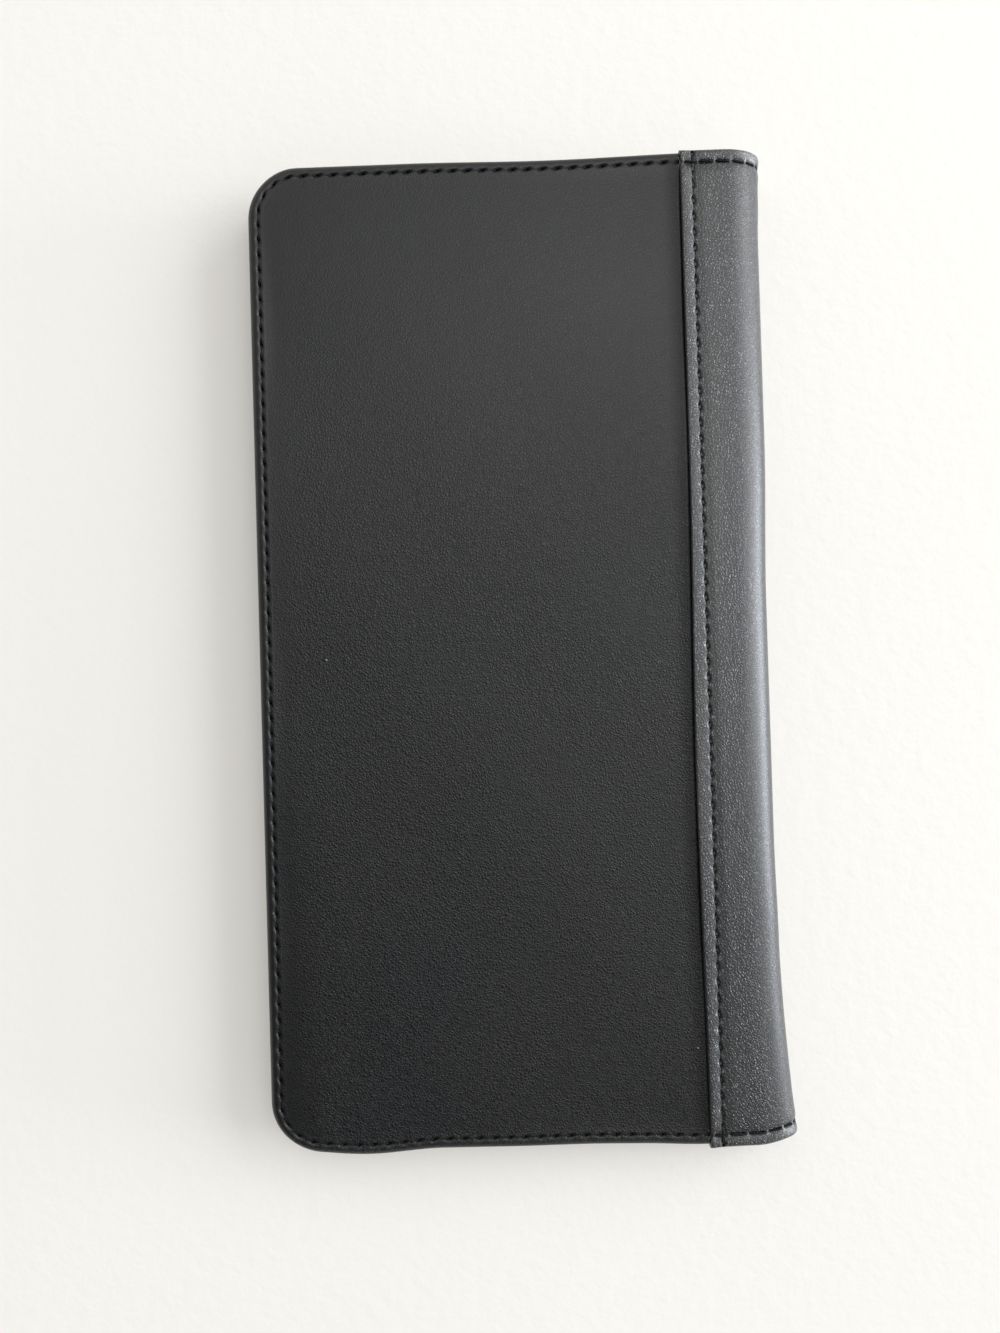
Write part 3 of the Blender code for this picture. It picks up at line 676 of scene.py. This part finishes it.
def add_cover(half):
    """The cover's sheet of leather, turned over its three free edges, as one closed body."""
    ends = np.array([0.0003, HIDDEN_END])
    stations = np.concatenate([-ends[::-1], EDGE_ROW.places(), COVER_EDGE.length + ends])
    section = COVER_SECTION
    face = section.outside & (section.inset > OUTER_ROLL)
    points, wear_and_highlight, painted_shade = [], [], []
    for along in stations:
        x, y, inward_x, inward_y = COVER_EDGE.at(along)
        hidden = HIDDEN_SINK * (along < 0 or along > COVER_EDGE.length)
        u, d = section.moved(section.on_rows(EDGE_ROW.sink, along) + hidden)
        here_x, here_y = x + inward_x * u, y + inward_y * u
        soft = ripple(here_x, here_y) * smooth((u - OUTER_ROLL) / 0.004)
        soft += field_dip(here_x) * smooth((u - 0.003) / 0.004)
        points += list(zip(here_x, here_y, half.height(d + face * soft)))
        paleness = 0.04 + 0.10 * float(hump(COVER_EDGE.from_corner(along) / 0.012))
        rim = paleness * np.exp(-(((section.outer + 0.0028) / 0.0012) ** 2))
        # Pale mark: rubbed wear on the rim near the corners, and painted highlight on the stitches' puckers
        wear_and_highlight += list(rim + section.on_rows(EDGE_ROW.wear_and_highlight, along))
        # Dark mark: painted shade at the stitches, and the lap's painted shadow on the face
        painted_shade += list(np.maximum(section.on_rows(EDGE_ROW.painted_shade, along), face * lap_painted_shadow(here_x)))
    rows, columns = len(stations), len(section)
    faces = grid_faces(rows, columns)
    ring = [row * columns for row in range(rows)]
    lip = [row * columns + columns - 1 for row in range(rows)]
    end_edge = add_field(half, points, faces, ring)
    wear_and_highlight += [0.0] * (len(points) - len(wear_and_highlight))
    # The broad face takes the lap's painted shadow
    painted_shade += [float(lap_painted_shadow(x)) for x, _, _ in points[len(painted_shade) :]]

    floor = [len(points) + row for row in range(rows)]
    points += [(points[index][0], points[index][1], half.height(SHELL_LEATHER)) for index in lip]
    for row in range(rows - 1):
        faces.append((lip[row], lip[row + 1], floor[row + 1], floor[row]))
    faces.append(tuple(floor))
    faces.append((*range(columns), floor[0]))
    faces.append((*range(lip[-1] - columns + 1, lip[-1] + 1), floor[-1]))
    faces.append((*end_edge, floor[0], floor[-1]))
    marks = {"wear_and_highlight": wear_and_highlight + [0.0] * rows, "painted_shade": painted_shade + [0.0] * rows}
    piece = make_piece(half.side + "_cover_skin", settle(points), faces, SHELL_PAINT, marks)
    place_piece(piece, half.body, "shell_leather", half.side + "_cover_leather")


def add_field(half, points, faces, ring):
    """The cover's broad face, joined to the turned edge's inner line. Returns its edge at the spine."""
    outline = [Vector(points[index][:2]) for index in ring]
    corners = len(outline)
    right, half_length = outline[0].x, outline[-1].y
    columns = list(np.arange(FREE_EDGE + TURN_IN + 0.004, LAP_EDGE - 0.008, 0.005))
    columns += [LAP_EDGE - back for back in (0.0055, 0.0040, 0.0028, 0.0018, 0.0010, 0.0004)]
    columns += [COVER_END + 0.0001, right]
    lines = np.linspace(-half_length, half_length, 60)[1:-1]
    places = [(x, y) for x in columns for y in lines if x > columns[0] or abs(y) < half_length - 0.004]
    inner = [Vector(place) for place in places]
    edge = [corners + index for index, place in enumerate(inner) if abs(place.x - right) < 1e-9]
    edge.reverse()
    loop = list(range(corners)) + edge
    made = delaunay_2d_cdt(outline + inner, list(zip(loop, loop[1:] + loop[:1])), [loop], 1, 1e-7)
    numbers, sources = {}, {}
    for index, place in enumerate(made[0]):
        source = min(made[3][index], default=corners)
        sources[source] = index
        if source < corners:
            numbers[index] = ring[source]
            continue
        depth = ripple(place.x, place.y) + field_dip(place.x) + HIDDEN_SINK * (place.x > COVER_END)
        numbers[index] = len(points)
        points.append((place.x, place.y, half.height(depth)))
    faces += [tuple(numbers[index] for index in face) for face in made[2]]
    return [ring[-1]] + [numbers[sources[index]] for index in edge] + [ring[0]]


class StripPath:
    """The spine strip's outer face seen along the length: flat from the fold, then round the nose."""

    def __init__(self):
        turns = np.linspace(math.pi / 2, 0.0, 400)
        x = NOSE_START + NOSE_DEPTH * np.cos(turns)
        depth = NOSE_RISE * (1 - np.sin(turns))
        steps = np.hypot(np.diff(x), np.diff(depth))
        self.turns = turns
        self.flat = NOSE_START - LAP_EDGE
        self.lengths = self.flat + np.concatenate([[0.0], np.cumsum(steps)])
        self.length = self.lengths[-1]

    def at(self, along):
        """(x, depth, inward x, inward depth, lean) at a distance from the fold."""
        if along < self.flat:
            return LAP_EDGE + along, 0.0, 0.0, 1.0, 0.0
        turn = float(np.interp(along, self.lengths, self.turns))
        across, rise = math.cos(turn), math.sin(turn)
        size = math.hypot(across / NOSE_DEPTH, rise / NOSE_RISE)
        place = (NOSE_START + NOSE_DEPTH * across, NOSE_RISE * (1 - rise))
        return *place, -across / NOSE_DEPTH / size, rise / NOSE_RISE / size, across


STRIP = StripPath()
SEAM_ALONG = SEAM_LINE - LAP_EDGE
SEAM_ROW = Row(0.0007 - HALF_LENGTH, HALF_LENGTH - 0.0007, SEAM_PITCH, pull=0.00034, puckering=1.0, dash=0.0009)
END_ROW = Row(FIRST_END_HOLE, STRIP.length, EDGE_PITCH, pull=0.00034, tight=True)


def end_reach(along, lean, side):
    """Half of the strip's length at a place on its section, at its upper or lower end."""
    dip = CORNER_DIP_TOP if side > 0 else CORNER_DIP_BOTTOM
    return HALF_LENGTH + 0.0001 * float(hump(along / 0.0034)) - dip * float(smooth(lean / 0.75))


def strip_lining_depth(half, x):
    """How deep the lining lies under the strip's outer face: it falls from the board into the nose."""
    on_board = LINING_TOP + half.lap_rise
    in_nose = STRIP_LEATHER + LAYER_GAP
    return on_board + (in_nose - on_board) * float(smooth((x - BOARD_END - 0.0003) / LINING_FALL))


def fold_lead(along):
    """How far the strip's outer face is lowered beside its folded edge."""
    share = min(along / FOLD_ROLL, 1.0)
    ridge = 0.00006 * min(abs(along - 0.0013) / 0.0013, 1.0) ** 2
    return FOLD_ROLL * (1 - math.sqrt(1 - (1 - share) ** 2)) + ridge


def strip_stations():
    """Distances from the fold: close at the fold, the seam and each hole of the ends' stitches."""
    fold = [FOLD_ROLL * (1 - math.cos(math.pi / 2 * step / 6)) for step in range(7)]
    seam = [SEAM_ALONG + side * place for place in spread(0.00013, 1.2, 0.0024) for side in (-1, 1)]
    every = fold + seam + list(END_ROW.places())
    every += list(np.arange(STRIP.length - 0.0009, STRIP.length, 0.0003)) + [STRIP.length]
    every = sorted(place for place in every if place >= 0)
    kept = [every[0]]
    for place in every[1:]:
        if place - kept[-1] > 0.00009:
            kept.append(place)
    kept[-1] = STRIP.length
    return kept


def strip_end(half, along, height, side):
    """One turned end of the strip's skin at a station, as rows of (y, under, wear and painted highlight,
    painted shade).
    """
    lean = STRIP.at(along)[4]
    reach = end_reach(along, lean, side)
    section = EdgeSection(height, END_INSET, 0.0050, STRIP_ROLL)
    show = np.where(section.outside, -section.out_depth, 0.0)
    over = SEAM_ROW.sink(along - SEAM_ALONG, side * (reach - section.inset)) * (section.inset > 0.0006)
    u, d = section.moved(section.on_rows(END_ROW.sink, along))
    d = d + show * (fold_lead(along) + over)
    band = np.exp(-(((section.outer + 0.0020) / 0.0011) ** 2))
    # Pale mark: rubbed wear round the corner of the nose, and painted highlight on the end row's puckers and
    # the lap's ridge
    wear_and_highlight = corner_rub(along, side) * band + section.on_rows(END_ROW.wear_and_highlight, along)
    wear_and_highlight = wear_and_highlight + lap_ridge_highlight(along) * (section.outer > 0.0010) * section.outside
    # Dark mark: painted shade in the seam's holes and along the end row's thread
    dark = show * SEAM_ROW.painted_shade(along - SEAM_ALONG, side * (reach - section.inset))
    painted_shade = np.maximum(section.on_rows(END_ROW.painted_shade, along), dark)
    rows = list(zip(side * (reach - u), d, wear_and_highlight, painted_shade))
    rows.append((side * (reach - TURN_IN), height - STRIP_LEATHER, 0.0, 0.0))
    rows.append((side * (reach - STRIP_LEATHER), height - STRIP_LEATHER, 0.0, 0.0))
    rows.append((side * (reach - STRIP_LEATHER), STRIP_LEATHER, 0.0, 0.0))
    return rows


def strip_ring(half, along):
    """The strip's skin at a station, with its ends turned in: its points, its wear and painted highlight,
    and its painted shade.
    """
    x, depth, inward_x, inward_depth, _ = STRIP.at(along)
    height = strip_lining_depth(half, x) + LINING + LAYER_GAP + STRIP_LEATHER
    middle = SEAM_ROW.places()
    middle = middle[np.abs(middle) < HALF_LENGTH - TURN_IN]
    across = along - SEAM_ALONG
    unders = fold_lead(along) + SEAM_ROW.sink(across, middle)
    # Pale mark: painted highlight on the lap's ridge and the seam's puckers; dark mark: painted shade in the
    # seam's holes and along its thread
    wear_and_highlight = lap_ridge_highlight(along) + SEAM_ROW.wear_and_highlight(across, middle)
    rows = list(zip(middle, unders, wear_and_highlight, SEAM_ROW.painted_shade(across, middle)))
    rows += strip_end(half, along, height, 1)
    inner = (HALF_LENGTH - TURN_IN) * np.linspace(1.0, -1.0, 29)
    rows += [(y, STRIP_LEATHER, 0.0, 0.0) for y in inner]
    rows += strip_end(half, along, height, -1)[::-1]
    ys, unders, wear_and_highlight, painted_shade = np.array(rows).T
    heights = half.strip_top + half.inward * (depth + inward_depth * unders)
    return np.stack([x + inward_x * unders, ys, heights], 1), wear_and_highlight, painted_shade


def lap_ridge_highlight(along):
    """Painted highlight: pale on the lap where it rises to the seam's stitches."""
    return 0.08 * float(hump((along - SEAM_ALONG + 0.0010) / 0.0013))


def corner_rub(along, side):
    """Pale wear on the strip's ends where they turn round the nose."""
    share = float(smooth((along - 0.0120) / 0.0045))
    return (0.55 if side > 0 else 0.25) * share + 0.03


def bend_piece(piece, half, slot, *nodes):
    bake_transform(piece)
    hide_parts(*nodes)


def add_strip(half):
    """Half of the spine strip, from its folded edge to the nose's middle line."""
    rings, wear_and_highlights, painted_shades = zip(*[strip_ring(half, along) for along in strip_stations()])
    faces = tube_faces(len(rings), len(rings[0]))
    marks = {"wear_and_highlight": np.concatenate(wear_and_highlights), "painted_shade": np.concatenate(painted_shades)}
    piece = make_piece(f"spine_{half.side}_skin", settle(np.concatenate(rings)), faces, STRIP_PAINT, marks)
    bend_piece(piece, half, "shell_leather", f"spine_{half.side}_lap", "spine_bend")


def add_lining_skin(half):
    """The lining from the cover's free edge to the nose's middle line."""
    inset = 0.0012
    radius = CORNER_RADIUS - inset
    half_length = COVER_HALF_LENGTH - inset
    places = []
    for step in range(7):
        turn = math.radians(90) * step / 6
        x = FREE_EDGE + inset + radius * (1 - math.cos(turn))
        places.append((x, 0.0, 0.0, 1.0, half_length - radius * (1 - math.sin(turn))))
    for x in (BOARD_END - 0.002, BOARD_END, BOARD_END + 0.0008, BOARD_END + 0.0016):
        places.append((x, 0.0, 0.0, 1.0, half_length))
    for along in np.linspace(STRIP.flat, STRIP.length, 24):
        *place, lean = STRIP.at(along)
        reach = end_reach(along, lean, -1) - STRIP_LEATHER - 0.0003
        places.append((*place, min(half_length, reach)))
    lines = np.linspace(-1.0, 1.0, 41)
    rings = []
    for x, depth, inward_x, inward_depth, reach in places:
        under = strip_lining_depth(half, x)
        ring = []
        for share, extra in [(line, 0.0) for line in lines] + [(line, LINING) for line in lines[::-1]]:
            sag = 0.00006 * math.sin(share * 31 + x * 260) + 0.00006
            down = under + extra + sag
            z = half.strip_top + half.inward * (depth + inward_depth * down)
            ring.append((x + inward_x * down, share * reach, z))
        rings.append(ring)
    faces = tube_faces(len(rings), len(rings[0]))
    piece = make_piece(half.side + "_lining_skin", settle(np.concatenate(rings)), faces, CLOTH_PAINT)
    bend_piece(piece, half, "lining_cloth", half.side + "_lining", "spine_lining")


class Stitches:
    """Points and faces of many short twisted threads, one for each stitch."""

    def __init__(self):
        self.points = []
        self.faces = []

    def add(self, holes, outs, slant=0.00010, rest=0.00032, dive=0.00045, size=1.0):
        """Stitches between holes on a leather face, where each hole has its direction out of the face."""
        holes, outs = np.array(holes, float), np.array(outs, float)
        for first, last, out in zip(holes, holes[1:], outs):
            run = last - first
            run /= np.linalg.norm(run)
            across = np.cross(run, out)
            base = len(self.points)
            for ring in range(THREAD_RINGS):
                share = ring / (THREAD_RINGS - 1)
                from_middle = 2 * share - 1
                down = rest + dive * abs(from_middle) ** 5
                centre = first + (last - first) * share + across * slant * from_middle - out * down
                radius = THREAD_RADIUS * size * (1 - 0.25 * abs(from_middle) ** 4)
                for side in range(THREAD_SIDES):
                    turn = 2 * math.pi * side / THREAD_SIDES
                    ply = 1 + 0.2 * math.cos(2 * (turn - math.pi * THREAD_TURNS * share))
                    offset = across * math.cos(turn) + out * math.sin(turn)
                    self.points.append(centre + offset * radius * ply)
            for face in tube_faces(THREAD_RINGS, THREAD_SIDES):
                self.faces.append(tuple(base + index for index in face))

    def piece(self, name):
        return make_piece(name, settle(self.points), self.faces, THREAD_PAINT)


def add_edge_stitches(half):
    """The stitches round the cover's turned edges, on its outer and its inner face."""
    stitches = Stitches()
    for depth, outward in ((0.0, -half.inward), (EDGE_HEIGHT, half.inward)):
        holes = []
        for along in EDGE_ROW.holes:
            x, y, inward_x, inward_y = COVER_EDGE.at(along)
            place = (x + inward_x * STITCH_INSET, y + inward_y * STITCH_INSET, half.height(depth))
            holes.append(place)
        rest = 0.00034 if depth == 0.0 else 0.00016
        stitches.add(holes, [(0.0, 0.0, outward)] * len(holes), rest=rest)
    piece = stitches.piece(half.side + "_edge_stitches")
    place_piece(piece, half.body, "sewing_thread", half.side + "_edge_thread")


def add_seam_stitches(half):
    stitches = Stitches()
    holes = [(SEAM_LINE, y, half.strip_top) for y in SEAM_ROW.holes]
    stitches.add(holes, [(0.0, 0.0, -half.inward)] * len(holes), slant=0.00012, rest=0.00064)
    piece = stitches.piece(half.side + "_seam_stitches")
    place_piece(piece, half.body, "sewing_thread", half.side + "_seam_thread")


def add_end_stitches(half):
    """The edge stitches' run across the strip's two ends and round the nose."""
    stitches = Stitches()
    for side in (1, -1):
        holes, outs = [], []
        for along in END_ROW.holes:
            x, depth, inward_x, inward_depth, lean = STRIP.at(along)
            y = side * (end_reach(along, lean, side) - END_INSET)
            holes.append((x, y, half.strip_top + half.inward * depth))
            outs.append((-inward_x, 0.0, -half.inward * inward_depth))
        middles = [np.array(a) + np.array(b) for a, b in zip(outs, outs[1:])]
        outs = [middle / np.linalg.norm(middle) for middle in middles] + [outs[-1]]
        stitches.add(holes, outs, rest=0.00036)
    piece = stitches.piece(f"spine_{half.side}_end_stitches")
    bend_piece(piece, half, "sewing_thread", "spine_top_thread", "spine_bottom_thread")


def pocket_sink(away, along, row):
    """A pocket face's shape beside its mouth: a rolled edge, a pressed line and, with a row, stitches."""
    share = np.clip(away / MOUTH_ROLL, 0.0, 1.0)
    edge = MOUTH_ROLL * (1 - np.sqrt(1 - (1 - share) ** 2))
    crease = 0.00013 * np.exp(-(((away - MOUTH_LINE) / 0.00030) ** 2))
    swell = -0.00004 * hump((away - 0.0006) / 0.0008)
    sink = edge + crease + swell + 0.00006
    if row is not None:
        sink = sink + 0.5 * row.sink(away - MOUTH_STITCH_INSET, along)
    return sink


def add_pocket(half, name, mouth, base, low, high, row=None):
    """A pocket face: a thin sheet between its mouth and its base, each a list of (x, y)."""
    mouth, base = np.array(mouth, float), np.array(base, float)
    span = np.linalg.norm(base - mouth, axis=1)
    along = np.concatenate([[0.0], np.cumsum(np.linalg.norm(np.diff(mouth, axis=0), axis=1))])
    steps = [0.0, 0.00003, 0.00008, 0.00015, 0.00024, 0.0006, 0.0009, 0.0011, 0.0013, 0.0015, 0.0016, 0.0017]
    steps += [0.0019, 0.0021]
    if row is not None:
        near = spread(0.00013, 1.3, 0.0009)
        steps += [MOUTH_STITCH_INSET + side * place for place in near for side in (-1, 1)]
    steps = sorted(set(steps)) + [MOUTH_BAND]
    rest = np.linspace(0.0, 1.0, 9)[1:]
    points = []
    for column in range(len(mouth)):
        run = (base[column] - mouth[column]) / span[column]
        aways = np.array(steps + [MOUTH_BAND + (span[column] - MOUTH_BAND) * share for share in rest])
        places = mouth[column] + run * aways[:, None]
        sink = pocket_sink(aways, along[column], row) + 0.5 * ripple(places[:, 0], places[:, 1])
        depths = high - sink
        upper = [(x, y, half.height(d)) for (x, y), d in zip(places, depths)]
        ends = [places[-1], places[0]]
        points += upper + [(x, y, half.height(low)) for x, y in ends]
    faces = tube_faces(len(mouth), len(steps) + len(rest) + 2)
    piece = make_piece(name + "_skin", settle(points), faces, POCKET_PAINT, sharp=40.0)
    place_piece(piece, half.body, "pocket_leather", name)


def add_pocket_stitches(half, name, holes, depth, rest=0.00014):
    stitches = Stitches()
    places = [(x, y, half.height(depth)) for x, y in holes]
    outs = [(0.0, 0.0, half.inward)] * len(places)
    stitches.add(places, outs, slant=0.00006, rest=rest, dive=0.0003, size=0.8)
    piece = stitches.piece(name)
    place_piece(piece, half.body, "sewing_thread")


def notch_line(half_length, depth, across):
    return depth * 0.5 * (1 + np.cos(np.pi * np.clip(across / half_length, -1.0, 1.0)))


def row_along(start, end, pitch=EDGE_PITCH):
    count = max(1, round(math.dist(start, end) / pitch))
    first, run = np.array(start), np.array(end) - np.array(start)
    return [tuple(first + run * step / count) for step in range(count + 1)]


def add_long_pocket(half, name):
    """The full-length pocket, whose mouth has a shallow notch."""
    left, right, bottom, top, low, high = half.span(name)
    length = top - bottom - 0.010
    row = Row(0.0, length, EDGE_PITCH)
    ys = row.places() - length / 2
    mouth = [(right - float(notch_line(*LONG_NOTCH, y)), y) for y in ys]
    base = [(left + 0.005, y) for y in ys]
    add_pocket(half, name, mouth, base, low, high, row)
    ys = row.holes - length / 2
    holes = [(right - float(notch_line(*LONG_NOTCH, y)) - MOUTH_STITCH_INSET, y) for y in ys]
    add_pocket_stitches(half, name + "_stitches", holes, high, 0.00020)


def add_card_slots():
    """Four slip pockets whose mouths step down the back half."""
    slots = [BACK.span(f"card_slot_{number}") for number in (1, 2, 3, 4)]
    for number, (left, right, bottom, top, low, _) in enumerate(slots, 1):
        end = bottom if number == 4 else top - SLOT_TUCK
        xs = np.linspace(left, right, 25)
        name = f"card_slot_{number}"
        add_pocket(BACK, name, [(x, top) for x in xs], [(x, end) for x in xs], low, low + SLOT_LEATHER)
    left, right, bottom, _, low, _ = slots[-1]
    place = right - SIDE_STITCH_INSET
    row_ends = [slot[3] + 0.0002 for slot in slots[1:]] + [bottom + 0.002]
    for number, (slot, row_end) in enumerate(zip(slots, row_ends), 1):
        holes = row_along((place, slot[3] - 0.0006), (place, row_end), 0.0026)
        add_pocket_stitches(BACK, f"card_slot_{number}_stitches", holes, slot[4] + SLOT_LEATHER)
    holes = row_along((left + 0.001, bottom + 0.002), (place, bottom + 0.002), 0.0030)
    add_pocket_stitches(BACK, "card_slot_base_stitches", holes, low + SLOT_LEATHER)


def add_passport_pocket():
    left, right, bottom, top, low, high = BACK.span("passport_pocket")
    xs = np.linspace(left, right, 61)
    middle = (left + right) / 2
    mouth = [(x, top - float(notch_line(*THUMB_NOTCH, x - middle))) for x in xs]
    add_pocket(BACK, "passport_pocket", mouth, [(x, bottom) for x in xs], low, high)
    corner = (right - SIDE_STITCH_INSET, bottom + SIDE_STITCH_INSET)
    holes = row_along((corner[0], top - 0.0008), corner)
    holes += row_along(corner, (left + 0.001, corner[1]))[1:]
    add_pocket_stitches(BACK, "passport_pocket_stitches", holes, high)


def add_boarding_pass_pocket():
    left, right, bottom, top, low, high = FRONT.span("boarding_pass_pocket")
    xs = np.linspace(right, left, 41)
    mouth = [(x, top - PASS_SLANT * (x - left) / (right - left)) for x in xs]
    add_pocket(FRONT, "boarding_pass_pocket", mouth, [(x, bottom) for x in xs], low, high)
    place = right - SIDE_STITCH_INSET
    holes = row_along((place, top - 0.0148), (place, bottom + 0.001))
    add_pocket_stitches(FRONT, "boarding_pass_pocket_stitches", holes, high)


def rounded_loop(left, right, bottom, top, radius, steps=6):
    """A rectangle's outline with round corners."""
    loop = []
    corners = ((right, top, 0), (left, top, 90), (left, bottom, 180), (right, bottom, 270))
    for x, y, start in corners:
        centre = (x - radius if x == right else x + radius, y - radius if y == top else y + radius)
        for step in range(steps + 1):
            turn = math.radians(start + 90 * step / steps)
            loop.append((centre[0] + radius * math.cos(turn), centre[1] + radius * math.sin(turn)))
    return loop


def add_window_frame():
    """The identity window's frame, with a rolled rim, a pressed line and a row of stitches."""
    left, right, bottom, top, low, high = FRONT.span("id_window_frame")
    rings = []
    widths = [0.0, 0.00004, 0.00012, 0.00022, 0.0008, 0.0012, 0.0015, 0.0018, 0.0022]
    profile = widths + [FRAME_BORDER - width for width in reversed(widths)]
    for width in profile:
        radius = 0.0015 + 0.0015 * width / FRAME_BORDER
        loop = rounded_loop(left + width, right - width, bottom + width, top - width, radius)
        near = min(width, FRAME_BORDER - width)
        share = min(near / MOUTH_ROLL, 1.0)
        pressed = 0.0001 * math.exp(-(((near - FRAME_LINE) / 0.0003) ** 2))
        sink = MOUTH_ROLL * (1 - math.sqrt(1 - (1 - share) ** 2)) + pressed
        rings.append([(x, y, FRONT.height(high - sink)) for x, y in loop])
    rings.append([(x, y, FRONT.height(low)) for x, y, _ in rings[-1]])
    rings.append([(x, y, FRONT.height(low)) for x, y, _ in rings[0]])
    count = len(rings[0])
    faces = grid_faces(len(rings), count, closed=True)
    last = (len(rings) - 1) * count
    for step in range(count):
        after = (step + 1) % count
        faces.append((last + step, last + after, after, step))
    points = settle(np.concatenate(rings))
    piece = make_piece("id_window_frame_skin", points, faces, POCKET_PAINT, sharp=40.0)
    place_piece(piece, "front_cover", "pocket_leather", "id_window_frame")
    width = FRAME_STITCH_INSET
    corners = [(left + width, bottom + width), (right - width, bottom + width)]
    corners += [(right - width, top - width), (left + width, top - width)]
    holes = []
    for first, last_corner in zip(corners, corners[1:] + corners[:1]):
        holes += row_along(first, last_corner)[:-1]
    add_pocket_stitches(FRONT, "id_window_frame_stitches", holes + holes[:1], high)


def dress_packed_nodes():
    """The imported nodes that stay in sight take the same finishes."""
    paints = {
        "shell_leather": SHELL_PAINT,
        "pocket_leather": POCKET_PAINT,
        "sewing_thread": THREAD_PAINT,
        "lining_cloth": CLOTH_PAINT,
        "stiffening_board": BOARD_PAINT,
        "clear_film": FILM_PAINT,
    }
    for subpart in frame["record"]["subparts"]:
        node = frame["nodes"][subpart["node"]]
        node.data.materials.clear()
        node.data.materials.append(paints[subpart["material_slot"]])


make_camera()
make_floor()
make_lights()

SHELL_PAINT = make_leather("shell_leather", 0.005, 0.36, relief=0.00007, smooth_top=0.7)
STRIP_PAINT = make_leather("strip_leather", 0.006, 0.36, relief=0.00018, coat=1.0)
POCKET_PAINT = make_leather("pocket_leather", 0.010, 0.48, grain=1900.0, relief=0.00004)
THREAD_PAINT = make_thread_paint()
CLOTH_PAINT = make_cloth()
BOARD_PAINT = make_board_paint()
FILM_PAINT = make_film_paint()
dress_packed_nodes()

for half in (BACK, FRONT):
    add_cover(half)
    add_strip(half)
    add_lining_skin(half)
    add_edge_stitches(half)
    add_seam_stitches(half)
    add_end_stitches(half)
add_long_pocket(BACK, "ticket_pocket")
add_long_pocket(FRONT, "document_pocket")
add_card_slots()
add_passport_pocket()
add_boarding_pass_pocket()
add_window_frame()

bpy.context.scene.view_settings.view_transform = "Standard"
